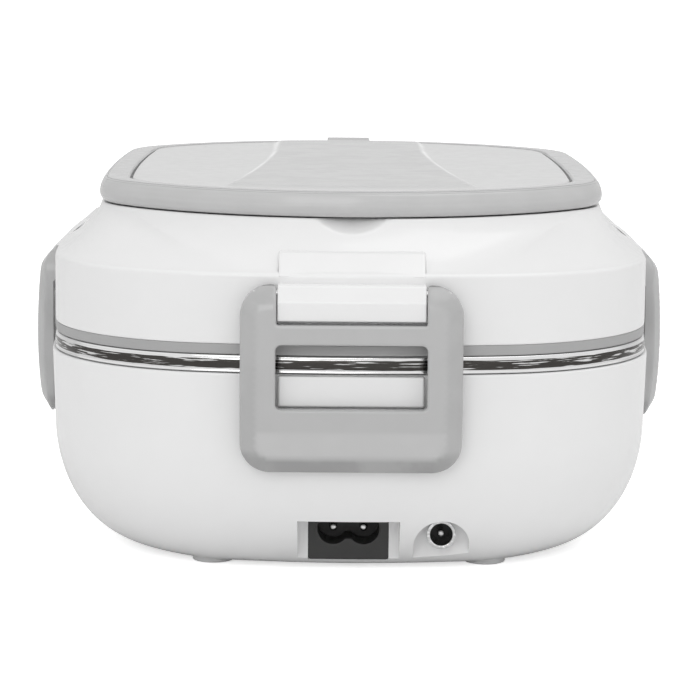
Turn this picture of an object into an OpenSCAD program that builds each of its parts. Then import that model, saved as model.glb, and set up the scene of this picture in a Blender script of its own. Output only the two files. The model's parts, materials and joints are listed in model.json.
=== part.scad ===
/* [Body] */
// Half the distance between the plan's corner centres, across the width
corner_x = 34; // [28:1:40]
// Half the distance between the plan's corner centres, along the depth
corner_y = 63; // [58:1:75]
// Corner radius of the base where it is widest
base_r = 55; // [54.6:0.1:55.6]
// Wall of the moulded shells
wall = 2.2; // [1.8:0.1:2.6]

/* [Heights] */
// Height of the feet pads below the base
foot_h = 1; // [0.6:0.1:1.4]
// Height of the base rim
rim_z = 58.5; // [57.5:0.5:59.5]
// Top of the steel container's rim
steel_top = 63.5; // [63:0.5:64]
// Bottom edge of the lid wall
lid_z = 66.5; // [66:0.5:67]
// Top edge of the lid wall, where the shoulder starts
shoulder_z = 85.8; // [85:0.1:87]
// Deck on top of the lid
deck_z = 100; // [99:0.5:101]
// Top face of the compartment cover
cover_top = 107.4; // [107:0.1:108]
// Underside of the food container
container_z = 22.5; // [22:0.5:24]

/* [Container] */
// Sheet thickness of the steel container
steel_t = 0.8; // [0.5:0.1:1]
// Radius between the container's wall and floor
container_fillet = 8; // [5:1:9]

/* [Clips] */
// Width of a side clip
clip_w = 60.8; // [56:0.2:64]
// Width of the lug that carries a clip
lug_w = 40.4; // [36:0.2:42]
// Width of the window in a clip
window_w = 41.3; // [38:0.1:44]
// Radius of a clip's hinge pin
clip_pin_r = 0.9; // [0.7:0.1:1]

/* [Sockets] */
// Middle of the mains inlet across the width
ac_x = -0.3; // [-4:0.1:2]
// Height of the mains inlet's pins
ac_z = 12.1; // [11.5:0.1:12.5]
// Spacing of the mains inlet's two pins
ac_pin_pitch = 8.6; // [8.4:0.1:8.8]
// Middle of the car socket across the width
dc_x = 25.8; // [24:0.1:30]
// Height of the car socket's centre
dc_z = 11.3; // [10.5:0.1:12]

/* [Hidden] */
$fn = 64;
// Steps along a curved profile
arc_steps = 8;
// Play between pieces that move past each other
gap = 0.3;
// Overshoot that makes a cut pass right through
past = 1;

// Outer reach of the base from the middle, along the depth and across the width
reach_y = corner_y + base_r;
reach_x = corner_x + base_r;

// Base bowl: an elliptical quarter turn from the flat bottom to the wall
bowl_top = 38;
bowl_in = base_r - 28;
bowl_out = 28;
base_wall = wall + 0.2;
rim_flare = 0.6;
floor_top = foot_h + wall;

// Sockets: their niches are cut back to this plane, and rise to this height
niche_y = -(corner_y + 38.2);
niche_top = 16.5;
ac_niche_w = 28.6;
ac_body_w = 22.8;
ac_body_d = 13;
ac_lobe_r = 4.45;
ac_pin_r = 1.2;
dc_niche_w = 15.7;
dc_ring_r = 3.85;
dc_bore_r = 3.15;
dc_pin_r = 1;
dc_body_r = 5.2;
dc_body_d = 11;
dc_ring_y = niche_y - 3.6;

// Feet pads, let into the bottom
foot_at = [39, 87];
foot_r = 6;
foot_sink = 0.8;

// Catch block on the base, seen through the clip's window
catch_w = 39.9;
catch_z = [50, 58.4];
catch_out = 2.4;

// Well, heater and container, one above the other
plate_top = container_z - 0.2;
well_floor_top = plate_top - 1.2;
well_floor = well_floor_top - 1.6;
plate_boss = well_floor - 0.2;
well_r = 45.9;
well_t = 1.6;
well_hole_r = 19;
well_flat_r = 36.5;
screw_at = [56, 70];
screw_boss_r = 4;
base_boss_top = floor_top + 1.6;
screw_r = 1.25;
heater_size = [62, 22, 5.4];
heater_y = 22;
clamp_t = 1;
clamp_x = 41;

// Container
steel_r = 45.4;
band_r = 54.9;
band_z = 58.8;

// Lid
lid_r = 54.7;
neck_r = 40;
shoulder_sag = 1.6;
tray_r = 26;
tray_z = 80;
tray_fillet = 6;
liner_z = 69;
liner_t = 1.6;

// Cover
cover_r = 41;
cover_z = deck_z + 0.4;
panel_r = 33.5;
panel_gap = 0.8;
panel_z = 105.05;
panel_top = cover_top - 0.2;
strip_h = 0.8;
cover_axis = [corner_y + 42.8, 105.2];
knuckle_r = 2.2;
post_r = 1.8;
tab_w = 14.8;
post_w = 5.5;
cover_pin_r = 0.8;

// Clip: pivot and outline measured outwards from the base's widest face
clip_axis = [2, 81.3];
clip_top_r = 2;
clip_z = [32.2, 83.5];
clip_face = 7.1;
clip_inside = 3.6;
clip_lip = 2.7;
clip_lip_top = 36;
skirt_w = 4;
window_z = [49.6, 67];
crossbar_top = 72.6;
lug_z = 73.8;

// Points on a quarter turn, from angle a to angle b about c, with radii rx and ry
function turn(c, rx, ry, a, b) = [
    for (i = [0 : arc_steps])
        let (t = a + (b - a) * i / arc_steps)
        [c[0] + rx * cos(t), c[1] + ry * sin(t)]
];

// Outer radius of the base at height z
function bowl_r(z) = z >= bowl_top
    ? base_r + rim_flare * (z - bowl_top) / (rim_z - bowl_top)
    : bowl_in + bowl_out * sqrt(1 - pow((bowl_top - z) / bowl_top, 2));

// Point on the lid's hollow shoulder: t runs from the wall up to the neck
function shoulder(t, inset = 0) = [
    lid_r - 0.2 - (lid_r - 0.2 - neck_r) * t - shoulder_sag * 2.8 * t * (1 - t) - inset,
    shoulder_z + (deck_z - shoulder_z) * t - shoulder_sag * 2.8 * t * (1 - t) - inset
];

// Half width of the cover's raised strip, which flares towards the front
function strip_half(y) = 24.5 + 11.5 * pow(max(0, 40 - y) / 134, 1.4);

// A profile (distance from the corner centre, height) carried round the plan
module sweep_round() {
    for (side = [0, 180])
        rotate([0, 0, side]) {
            translate([corner_x, corner_y, 0])
                rotate_extrude(angle = 90)
                    children();
            translate([-corner_x, corner_y, 0])
                rotate([0, 0, 90])
                    rotate_extrude(angle = 90)
                        children();
            translate([corner_x, corner_y, 0])
                rotate([90, 0, 0])
                    linear_extrude(2 * corner_y)
                        children();
            translate([-corner_x, corner_y, 0])
                rotate([90, 0, 90])
                    linear_extrude(2 * corner_x)
                        children();
        }
}

// The plate between the corner centres, from height low to height high
module middle_plate(low, high) {
    translate([-corner_x, -corner_y, low])
        cube([2 * corner_x, 2 * corner_y, high - low]);
}

// Moves a piece drawn for the front to side k: 0 front, 1 right, 2 rear, 3 left
module on_side(k) {
    rotate([0, 0, 90 * k])
        translate([0, k % 2 == 0 ? -reach_y : -reach_x, 0])
            children();
}

// An outline (outward distance, height) drawn across the width w, facing the front
module across(w) {
    translate([w / 2, 0, 0])
        rotate([90, 0, -90])
            linear_extrude(w)
                children();
}

// A rectangle with round corners, centred across, from height low to high
module round_plate(w, low, high, r) {
    translate([-w / 2 + r, low])
        square([w - 2 * r, high - low]);
    translate([-w / 2, low + r])
        square([w, high - low - 2 * r]);
    for (x = [-1, 1], z = [low + r, high - r])
        translate([x * (w / 2 - r), z])
            circle(r);
}

// A round bar along the width through a clip's pivot
module pivot_bar(r, length) {
    translate([-length / 2, -clip_axis[0], clip_axis[1]])
        rotate([0, 90, 0])
            cylinder(r = r, h = length);
}

// A wire of radius r through the given points, with flat ends and round bends
module wire(points, r) {
    for (i = [0 : len(points) - 2])
        let (
            a = points[i],
            d = points[i + 1] - a,
            l = norm(d)
        ) {
            translate(a)
                rotate([0, acos(d[2] / l), atan2(d[1], d[0])])
                    cylinder(r = r, h = l);
            if (i > 0)
                translate(a)
                    sphere(r = r + 0.08);
        }
}

// Four copies, mirrored about both middle planes
module four_ways(x, y) {
    for (sx = [-1, 1], sy = [-1, 1])
        translate([sx * x, sy * y, 0])
            children();
}

// Outer form of the base, filled
module base_form() {
    sweep_round()
        polygon(concat(
            [[0, foot_h]],
            [for (i = [0 : arc_steps])
                let (z = bowl_top - (bowl_top - foot_h) * cos(90 * i / arc_steps))
                [bowl_r(z), z]],
            [[bowl_r(rim_z), rim_z], [0, rim_z]]
        ));
    middle_plate(foot_h, rim_z);
}

// Inside of the base, filled
module base_hollow() {
    sweep_round()
        polygon(concat(
            [[0, floor_top]],
            turn([bowl_in, bowl_top], bowl_out - base_wall, bowl_top - floor_top, -90, 0),
            [[bowl_r(rim_z) - base_wall, rim_z + past], [0, rim_z + past]]
        ));
    middle_plate(floor_top, rim_z + past);
}

// Wall blocks behind the two socket niches
module niche_blocks() {
    side = 1.6;
    translate([ac_x - ac_niche_w / 2 - side, -reach_y, foot_h])
        cube([ac_niche_w + 2 * side, niche_y + reach_y + side, niche_top - foot_h + 1.2]);
    translate([dc_x - dc_niche_w / 2 - side, -reach_y, foot_h])
        cube([dc_niche_w + 2 * side, niche_y + reach_y + side, niche_top - foot_h + 1.2]);
}

// Room in front of the mains inlet
module ac_niche() {
    translate([ac_x - ac_niche_w / 2, -reach_y - past, floor_top])
        cube([ac_niche_w, niche_y + reach_y + past, niche_top - floor_top]);
}

// Arched room in front of the car socket
module dc_niche() {
    r = dc_niche_w / 2;
    translate([dc_x, niche_y, niche_top - r])
        rotate([90, 0, 0])
            cylinder(r = r, h = reach_y + niche_y + past);
    translate([dc_x - r, -reach_y - past, floor_top])
        cube([dc_niche_w, niche_y + reach_y + past, niche_top - r - floor_top]);
}

// White bowl that holds everything, with its catches and socket niches
module base_shell() {
    color([0.93, 0.92, 0.93])
        difference() {
            union() {
                difference() {
                    base_form();
                    base_hollow();
                }
                intersection() {
                    base_form();
                    niche_blocks();
                }
                for (k = [0 : 3])
                    on_side(k)
                        translate([-catch_w / 2, -catch_out, catch_z[0]])
                            cube([catch_w, catch_out + 0.5, catch_z[1] - catch_z[0]]);
                four_ways(screw_at[0], screw_at[1])
                    translate([0, 0, foot_h + 0.5])
                        cylinder(r = screw_boss_r + 1, h = base_boss_top - foot_h - 0.5);
            }
            ac_niche();
            dc_niche();
            translate([ac_x - ac_body_w / 2, niche_y - past, floor_top])
                cube([ac_body_w, ac_body_d + past + gap, ac_z + ac_lobe_r + 1.4 - floor_top]);
            translate([dc_x, niche_y + wall + past, dc_z])
                rotate([90, 0, 0])
                    cylinder(r = dc_ring_r, h = wall + 2 * past);
            four_ways(screw_at[0], screw_at[1]) {
                translate([0, 0, foot_h - past])
                    cylinder(r = 3, h = past + 2.6);
                translate([0, 0, foot_h])
                    cylinder(r = screw_r + 0.2, h = 6);
            }
            four_ways(foot_at[0], foot_at[1])
                translate([0, 0, foot_h - past])
                    cylinder(r = foot_r, h = past + foot_sink);
        }
}

// Four round pads let into the bottom
module rubber_feet() {
    color([0.8, 0.8, 0.8])
        four_ways(foot_at[0], foot_at[1])
            cylinder(r = foot_r, h = foot_h + foot_sink);
}

// Four screws that hold the well to the base from below
module base_screws() {
    head_z = foot_h + 0.8;
    color([0.6, 0.6, 0.62])
        four_ways(screw_at[0], screw_at[1])
            difference() {
                union() {
                    translate([0, 0, head_z])
                        cylinder(r = 2.7, h = 1.8);
                    translate([0, 0, head_z])
                        cylinder(r = screw_r, h = 11);
                }
                for (a = [0, 90])
                    rotate([0, 0, a])
                        translate([-1.6, -0.35, head_z - past])
                            cube([3.2, 0.7, past + 0.9]);
            }
}

// Plastic well between the base and the container, with the upstand under the rim
module inner_well() {
    outer = well_r + well_t;
    lip = [51.2, 52.8];
    flange_r = lip[1] + 1;
    fillet = well_r - well_flat_r;
    fillet_z = well_floor_top + fillet;
    seat = steel_top - steel_t - 0.1;
    color([0.82, 0.82, 0.83])
        difference() {
            union() {
                sweep_round()
                    polygon(concat(
                        [[well_hole_r, well_floor_top], [well_hole_r, well_floor]],
                        turn([well_flat_r, fillet_z], fillet + well_t, fillet + well_t, -90, 0),
                        [[outer, seat - 1.6], [lip[0], seat - 1.6], [lip[0], rim_z - 6],
                         [lip[1], rim_z - 6], [lip[1], rim_z], [flange_r, rim_z],
                         [flange_r, rim_z + 1.6], [lip[1], rim_z + 1.6],
                         [lip[1], seat], [well_r, seat]],
                        turn([well_flat_r, fillet_z], fillet, fillet, 0, -90)
                    ));
                four_ways(screw_at[0], screw_at[1])
                    translate([0, 0, base_boss_top + 0.1])
                        cylinder(r = screw_boss_r, h = well_floor - base_boss_top + 0.1);
            }
            four_ways(screw_at[0], screw_at[1])
                translate([0, 0, foot_h])
                    cylinder(r = screw_r + 0.05, h = 14);
        }
}

// Aluminium plate under the container, with bosses for the heater clamps
module heater_plate() {
    color([0.75, 0.76, 0.78])
        difference() {
            union() {
                sweep_round()
                    polygon([
                        [0, plate_boss], [well_hole_r - 0.3, plate_boss],
                        [well_hole_r - 0.3, well_floor_top], [well_hole_r + 5, well_floor_top],
                        [well_hole_r + 5, plate_top], [0, plate_top]
                    ]);
                middle_plate(plate_boss, plate_top);
                four_ways(clamp_x, heater_y)
                    translate([0, 0, plate_boss - heater_size[2]])
                        cylinder(r = 3.2, h = heater_size[2] + 0.5);
            }
            four_ways(clamp_x, heater_y)
                translate([0, 0, plate_boss - heater_size[2] - past])
                    cylinder(r = 1.25, h = heater_size[2] + past);
        }
}

// One heating element in its flat metal case, at depth y
module heater(y) {
    low = plate_boss - heater_size[2];
    translate([0, y, 0])
        difference() {
            translate([-heater_size[0] / 2, -heater_size[1] / 2, low])
                cube(heater_size);
            for (x = [-24 : 6 : 24])
                translate([x - 0.6, -heater_size[1] / 2 - past, low - past])
                    cube([1.2, heater_size[1] + 2 * past, past + 1]);
        }
}

module mains_heater() {
    color([0.7, 0.71, 0.73])
        heater(-heater_y);
}

module car_heater() {
    color([0.66, 0.67, 0.69])
        heater(heater_y);
}

// Two sprung steel straps that press the heaters against the plate
module heater_clamps() {
    low = plate_boss - heater_size[2] - clamp_t;
    color([0.72, 0.72, 0.74])
        for (y = [-heater_y, heater_y])
            difference() {
                translate([-clamp_x - 4, y - 6, low])
                    cube([2 * clamp_x + 8, 12, clamp_t]);
                for (x = [-clamp_x, clamp_x])
                    translate([x, y, low - past])
                        cylinder(r = 1.5, h = clamp_t + 2 * past);
            }
}

module clamp_screws() {
    head = 1.7;
    low = plate_boss - heater_size[2] - clamp_t - head;
    color([0.55, 0.55, 0.57])
        four_ways(clamp_x, heater_y)
            difference() {
                union() {
                    translate([0, 0, low])
                        cylinder(r = 2.6, h = head);
                    translate([0, 0, low])
                        cylinder(r = 1.2, h = head + clamp_t + heater_size[2] - 0.8);
                }
                translate([-1.7, -0.35, low - past])
                    cube([3.4, 0.7, past + 0.8]);
            }
}

// One-shot thermal cut-off held against the plate between the heaters
module thermal_fuse() {
    r = 2.3;
    z = plate_boss - r;
    color([0.86, 0.84, 0.78]) {
        translate([-6, 0, z])
            rotate([0, 90, 0])
                cylinder(r = r, h = 12);
        for (x = [-13, 6])
            translate([x, 0, z])
                rotate([0, 90, 0])
                    cylinder(r = 0.5, h = 7, $fn = 16);
    }
}

// Foil-faced foam on the bottom, under the heaters
module insulation_sheet() {
    size = [88, 108, 2];
    color([0.78, 0.76, 0.7])
        translate([-size[0] / 2, -size[1] / 2, floor_top])
            cube(size);
}

// Figure-of-eight cavity of the mains inlet, r round each pin
module inlet_cavity(r, depth) {
    for (x = [-1, 1])
        translate([ac_x + x * ac_pin_pitch / 2, niche_y + depth, ac_z])
            rotate([90, 0, 0])
                cylinder(r = r, h = depth + past);
    translate([ac_x - ac_pin_pitch / 2, niche_y - past, ac_z - r + 1.6])
        cube([ac_pin_pitch, depth + past, 2 * r - 1.6]);
}

// Black two-pin appliance inlet
module ac_inlet_body() {
    top = ac_z + ac_lobe_r + 1.4;
    color([0.12, 0.12, 0.13])
        difference() {
            translate([ac_x - ac_body_w / 2, niche_y, floor_top])
                cube([ac_body_w, ac_body_d, top - floor_top]);
            inlet_cavity(ac_lobe_r, ac_body_d - 3);
            for (x = [-1, 1])
                translate([ac_x + x * ac_pin_pitch / 2, niche_y + ac_body_d + past, ac_z])
                    rotate([90, 0, 0])
                        cylinder(r = ac_pin_r - 0.2, h = 3 + 2 * past);
        }
}

// Two contact pins of the mains inlet, with round tips and thinner stems
module ac_inlet_pins() {
    tip = niche_y + 1.6;
    floor_y = niche_y + ac_body_d - 3;
    back = niche_y + ac_body_d + 1.5;
    color([0.75, 0.75, 0.77])
        for (x = [-1, 1])
            translate([ac_x + x * ac_pin_pitch / 2, 0, ac_z]) {
                translate([0, tip + ac_pin_r, 0])
                    rotate([-90, 0, 0])
                        cylinder(r = ac_pin_r, h = floor_y - tip - ac_pin_r);
                translate([0, tip + ac_pin_r, 0])
                    sphere(r = ac_pin_r);
                translate([0, floor_y - 0.1, 0])
                    rotate([-90, 0, 0])
                        cylinder(r = ac_pin_r - 0.2, h = back - floor_y + 0.1);
            }
}

// Black housing of the car socket, behind the niche's wall
module dc_jack_body() {
    color([0.12, 0.12, 0.13])
        translate([dc_x, niche_y + 1.6, dc_z])
            rotate([-90, 0, 0])
                difference() {
                    cylinder(r = dc_body_r, h = dc_body_d);
                    translate([0, 0, -past])
                        cylinder(r = dc_ring_r, h = past + 6);
                    cylinder(r = dc_pin_r, h = dc_body_d + past);
                }
}

// Bright barrel of the car socket, which stands out of the niche's wall
module dc_jack_barrel() {
    length = niche_y + 1.6 + 6 - dc_ring_y;
    color([0.8, 0.8, 0.82])
        translate([dc_x, dc_ring_y, dc_z])
            rotate([-90, 0, 0])
                difference() {
                    cylinder(r = dc_ring_r, h = length);
                    translate([0, 0, -past])
                        cylinder(r = dc_bore_r, h = length + 2 * past);
                }
}

// Centre contact of the car socket
module dc_jack_pin() {
    tip = dc_ring_y + 1.2;
    back = niche_y + 1.6 + dc_body_d + 1.5;
    color([0.8, 0.8, 0.82])
        translate([dc_x, tip + dc_pin_r, dc_z]) {
            rotate([-90, 0, 0])
                cylinder(r = dc_pin_r, h = back - tip - dc_pin_r);
            sphere(r = dc_pin_r);
        }
}

// Two insulated wires from the mains inlet to the heater at the front
module mains_leads() {
    start_y = niche_y + ac_body_d + 1.5;
    end_y = -heater_y - heater_size[1] / 2;
    end_z = plate_boss - 2.4;
    color([0.85, 0.2, 0.15])
        for (x = [-1, 1])
            wire([
                [ac_x + x * ac_pin_pitch / 2, start_y, ac_z],
                [ac_x + x * ac_pin_pitch / 2, start_y + 3, ac_z],
                [x * 9, -62, 9],
                [x * 12, -45, 9],
                [x * 12, end_y - 4, end_z],
                [x * 12, end_y, end_z]
            ], 1);
}

// Two insulated wires from the car socket to the heater at the back
module car_leads() {
    start_y = niche_y + 1.6 + dc_body_d;
    end_y = heater_y - heater_size[1] / 2;
    end_z = plate_boss - 2.4;
    color([0.15, 0.15, 0.2])
        for (x = [-1, 1])
            wire([
                [dc_x + x * 3, start_y, dc_z],
                [dc_x + x * 3, start_y + 3, dc_z],
                [22 + x * 2, -62, 7.6],
                [22 + x * 2, 0, 7.6],
                [22 + x * 2, end_y - 4, end_z],
                [22 + x * 2, end_y, end_z]
            ], 0.9);
}

// Drawn steel food container with its turned-down rim
module steel_container() {
    f = container_fillet;
    color([0.72, 0.73, 0.75]) {
        sweep_round()
            polygon(concat(
                [[0, container_z]],
                turn([steel_r - f, container_z + f], f, f, -90, 0),
                [[steel_r, steel_top - steel_t], [band_r - steel_t, steel_top - steel_t],
                 [band_r - steel_t, band_z], [band_r, band_z],
                 [band_r, steel_top - 0.7], [band_r - 0.7, steel_top],
                 [steel_r - steel_t, steel_top]],
                turn([steel_r - f, container_z + f], f - steel_t, f - steel_t, 0, -90),
                [[0, container_z + steel_t]]
            ));
        middle_plate(container_z, container_z + steel_t);
    }
}

// Lug on the lid that carries a clip, in outward distance and height
module lug_outline() {
    polygon([
        [-1.5, lug_z], [4.8, lug_z], [4.6, 78.3], [3.1, 82.8],
        [-5.2, 91.6], [-8.4, 91.6], [-1.5, 84.7]
    ]);
}

// Posts at the back of the lid that hold the cover's hinge pin
module hinge_posts() {
    for (x = [-1, 1])
        translate([x * (tab_w / 2 + gap + post_w / 2) - post_w / 2, 0, 0])
            rotate([90, 0, 90])
                linear_extrude(post_w) {
                    translate(cover_axis)
                        circle(post_r);
                    polygon([
                        [corner_y + 41.3, 96], [cover_axis[0] + post_r, 93.5],
                        [cover_axis[0] + post_r, cover_axis[1]], [corner_y + 41.3, cover_axis[1]]
                    ]);
                }
}

// White outer lid: wall, hollow shoulder, deck and the cutlery tray sunk in it
module lid_shell() {
    steps = arc_steps;
    inner = lid_r - wall;
    tray_out = tray_r + wall;
    color([0.93, 0.93, 0.93])
        difference() {
            union() {
                sweep_round()
                    polygon(concat(
                        [[inner, lid_z], [lid_r, lid_z], [lid_r, shoulder_z - 1]],
                        [for (i = [0 : steps]) shoulder(i / steps)],
                        [[tray_r, deck_z]],
                        turn([tray_r - tray_fillet, tray_z + tray_fillet],
                            tray_fillet, tray_fillet, 0, -90),
                        [[0, tray_z], [0, tray_z - wall]],
                        turn([tray_r - tray_fillet, tray_z + tray_fillet],
                            tray_fillet + wall, tray_fillet + wall, -90, 0),
                        [[tray_out, deck_z - wall]],
                        [for (i = [steps - 1 : -1 : 0]) shoulder(i / steps, 1.55)],
                        [[inner, shoulder_z - 2.2]]
                    ));
                middle_plate(tray_z - wall, tray_z);
                for (k = [0 : 3])
                    on_side(k)
                        across(lug_w)
                            lug_outline();
                hinge_posts();
                translate([-15, 0, 0])
                    rotate([90, 0, -90])
                        mirror([0, 0, 1])
                            linear_extrude(30)
                                polygon([
                                    [corner_y + 33, deck_z - 1], [corner_y + 39.5, deck_z - 1],
                                    [corner_y + 43, 95], [corner_y + 40, 93.6],
                                    [corner_y + 33, 95.5]
                                ]);
                four_ways(30, 60)
                    translate([0, 0, liner_z + liner_t])
                        cylinder(r = 3, h = tray_z - wall - liner_z - liner_t + 0.5);
            }
            for (k = [0 : 3])
                on_side(k)
                    pivot_bar(clip_pin_r + 0.07, lug_w + 2);
            translate([-20, cover_axis[0], cover_axis[1]])
                rotate([0, 90, 0])
                    cylinder(r = cover_pin_r + 0.02, h = 40);
            translate([0, -corner_y - 53.6, 113.6])
                sphere(r = 22);
        }
}

// Inner lid over the food, with the channel for the seal
module lid_liner() {
    out = lid_r - wall - 0.1;
    rib = 1.7;
    tongue = [48.7, 50.4];
    foot = lid_z + 0.1;
    color([0.9, 0.9, 0.9]) {
        sweep_round()
            polygon([
                [0, liner_z], [tongue[0] - 0.2 - rib, liner_z], [tongue[0] - 0.2 - rib, foot],
                [tongue[0] - 0.2, foot], [tongue[0] - 0.2, liner_z],
                [tongue[1] + 0.2, liner_z], [tongue[1] + 0.2, foot], [out, foot],
                [out, liner_z + liner_t], [0, liner_z + liner_t]
            ]);
        middle_plate(liner_z, liner_z + liner_t);
    }
}

// Grey silicone seal, seen as the band between the lid and the steel rim
module lid_gasket() {
    low = steel_top + 0.1;
    high = lid_z;
    tongue = [48.7, 50.4];
    color([0.66, 0.66, 0.66])
        sweep_round()
            polygon([
                [steel_r + 0.5, low + 0.8], [steel_r + 1.3, low], [lid_r - 0.9, low],
                [lid_r - 0.1, low + 0.8], [lid_r - 0.1, high], [tongue[1], high],
                [tongue[1], liner_z - 0.2], [tongue[0], liner_z - 0.2],
                [tongue[0], high], [steel_r + 0.5, high]
            ]);
}

// Grey frame of the compartment cover, with its hinge tab at the back
module cover_frame() {
    ledge = panel_r - 3;
    inside = panel_r + panel_gap;
    color([0.72, 0.73, 0.74])
        difference() {
            union() {
                sweep_round()
                    polygon([
                        [cover_r - 3.4, cover_z], [cover_r - 1.2, cover_z],
                        [cover_r - 0.3, cover_z + 1.2], [cover_r, cover_z + 2.5],
                        [cover_r - 0.3, cover_z + 4.4], [cover_r - 1, cover_top - 0.9],
                        [cover_r - 1.8, cover_top - 0.2], [cover_r - 2.6, cover_top],
                        [inside + 0.6, cover_top], [inside, cover_top - 0.5],
                        [inside, panel_z], [ledge, panel_z], [ledge, panel_z - 1.6],
                        [cover_r - 3.4, panel_z - 1.6]
                    ]);
                translate([-tab_w / 2, 0, 0])
                    rotate([90, 0, 90])
                        linear_extrude(tab_w) {
                            translate(cover_axis)
                                circle(knuckle_r + 0.2);
                            polygon([
                                [corner_y + 37, 104.4], [cover_axis[0], 102.8],
                                [corner_y + 45.2, cover_axis[1]], [corner_y + 45.2, 108],
                                [corner_y + 44, 109.8], [corner_y + 40.2, 109.8],
                                [corner_y + 37, cover_top]
                            ]);
                        }
            }
            translate([-20, cover_axis[0], cover_axis[1]])
                rotate([0, 90, 0])
                    cylinder(r = cover_pin_r + 0.07, h = 40);
        }
}

// Lighter panel set in the frame, with the raised strip that flares to the front
module cover_panel() {
    strip_y = [-96, 94];
    steps = 12;
    ys = [for (i = [0 : steps]) strip_y[0] + (strip_y[1] - strip_y[0]) * i / steps];
    color([0.85, 0.85, 0.86]) {
        sweep_round()
            polygon([
                [0, panel_z], [panel_r, panel_z], [panel_r, panel_top - 0.5],
                [panel_r - 0.5, panel_top], [0, panel_top]
            ]);
        middle_plate(panel_z, panel_top);
        translate([0, 0, panel_top - 0.2])
            linear_extrude(strip_h + 0.2)
                polygon(concat(
                    [for (y = ys) [strip_half(y), y]],
                    [for (i = [steps : -1 : 0]) [-strip_half(ys[i]), ys[i]]]
                ));
    }
}

// Steel pin of the cover's hinge
module cover_hinge_pin() {
    length = tab_w + 2 * gap + 2 * post_w - 1;
    color([0.7, 0.7, 0.72])
        translate([-length / 2, cover_axis[0], cover_axis[1]])
            rotate([0, 90, 0])
                cylinder(r = cover_pin_r, h = length);
}

// Side outline of a clip, in outward distance and height
module clip_outline() {
    translate(clip_axis)
        circle(clip_top_r);
    polygon([
        [0, clip_axis[1]], [0, 75], [1.5, crossbar_top + 0.6], [1.5, clip_z[0] + 0.5],
        [2.4, clip_z[0]], [4, clip_z[0] + 1.2], [5.6, 36.6], [6.3, 41.4],
        [clip_face, 51], [clip_face, 60], [6.7, 71.3], [6, 77.3],
        [clip_axis[0] + clip_top_r * cos(38), clip_axis[1] + clip_top_r * sin(38)],
        clip_axis
    ]);
}

// Grey snap clip with its window, drawn for the front
module clip() {
    half = clip_w / 2;
    top_r = 9;
    bevel = 5;
    color([0.72, 0.73, 0.74])
        difference() {
            intersection() {
                across(clip_w)
                    clip_outline();
                translate([0, past, 0])
                    rotate([90, 0, 0])
                        linear_extrude(clip_face + 2 * past) {
                            round_plate(clip_w, clip_z[0], 60, 8);
                            round_plate(clip_w, 45, clip_z[1], top_r);
                        }
                translate([0, 0, clip_z[0] - past])
                    linear_extrude(clip_z[1] - clip_z[0] + 2 * past)
                        polygon([
                            [-half, past], [-half, 2.4 - clip_face], [-half + bevel, -clip_face],
                            [half - bevel, -clip_face], [half, 2.4 - clip_face], [half, past]
                        ]);
            }
            translate([0, past, 0])
                rotate([90, 0, 0])
                    linear_extrude(clip_face + 2 * past)
                        round_plate(window_w, window_z[0], window_z[1], 1.5);
            translate([-half + skirt_w, -clip_inside, clip_lip_top])
                cube([clip_w - 2 * skirt_w, clip_inside + past, crossbar_top - clip_lip_top]);
            translate([-half + skirt_w, -clip_lip, clip_z[0] - past])
                cube([clip_w - 2 * skirt_w, clip_lip + past, clip_lip_top - clip_z[0] + 2 * past]);
            translate([-lug_w / 2 - gap, -clip_face - past, crossbar_top])
                cube([lug_w + 2 * gap, clip_face + 2 * past, clip_z[1]]);
            pivot_bar(clip_pin_r + 0.02, 2 * half - 6);
        }
}

// Steel pin of a clip, drawn for the front
module clip_pin() {
    color([0.7, 0.7, 0.72])
        pivot_bar(clip_pin_r, clip_w - 7);
}

base_shell();
rubber_feet();
base_screws();
inner_well();
heater_plate();
mains_heater();
car_heater();
heater_clamps();
clamp_screws();
thermal_fuse();
insulation_sheet();
ac_inlet_body();
ac_inlet_pins();
dc_jack_body();
dc_jack_barrel();
dc_jack_pin();
mains_leads();
car_leads();
steel_container();
lid_shell();
lid_liner();
lid_gasket();
cover_frame();
cover_panel();
cover_hinge_pin();
on_side(0) clip();  // front_clip
on_side(1) clip();  // right_clip
on_side(2) clip();  // rear_clip
on_side(3) clip();  // left_clip
on_side(0) clip_pin();  // front_clip_pin
on_side(1) clip_pin();  // right_clip_pin
on_side(2) clip_pin();  // rear_clip_pin
on_side(3) clip_pin();  // left_clip_pin
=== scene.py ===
# %% [markdown]
# # A heated lunch box
#
# This file dresses the construction model of a portable electric lunch box: a white moulded
# bowl, a polished steel food container, a white lid and grey snap clips.
# The construction model comes first and stays where it is. Every shape below is worked out in the
# same frame, in millimetres, and is turned into metres only when it becomes a mesh.

# %% Load the construction model
import json
import math

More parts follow.
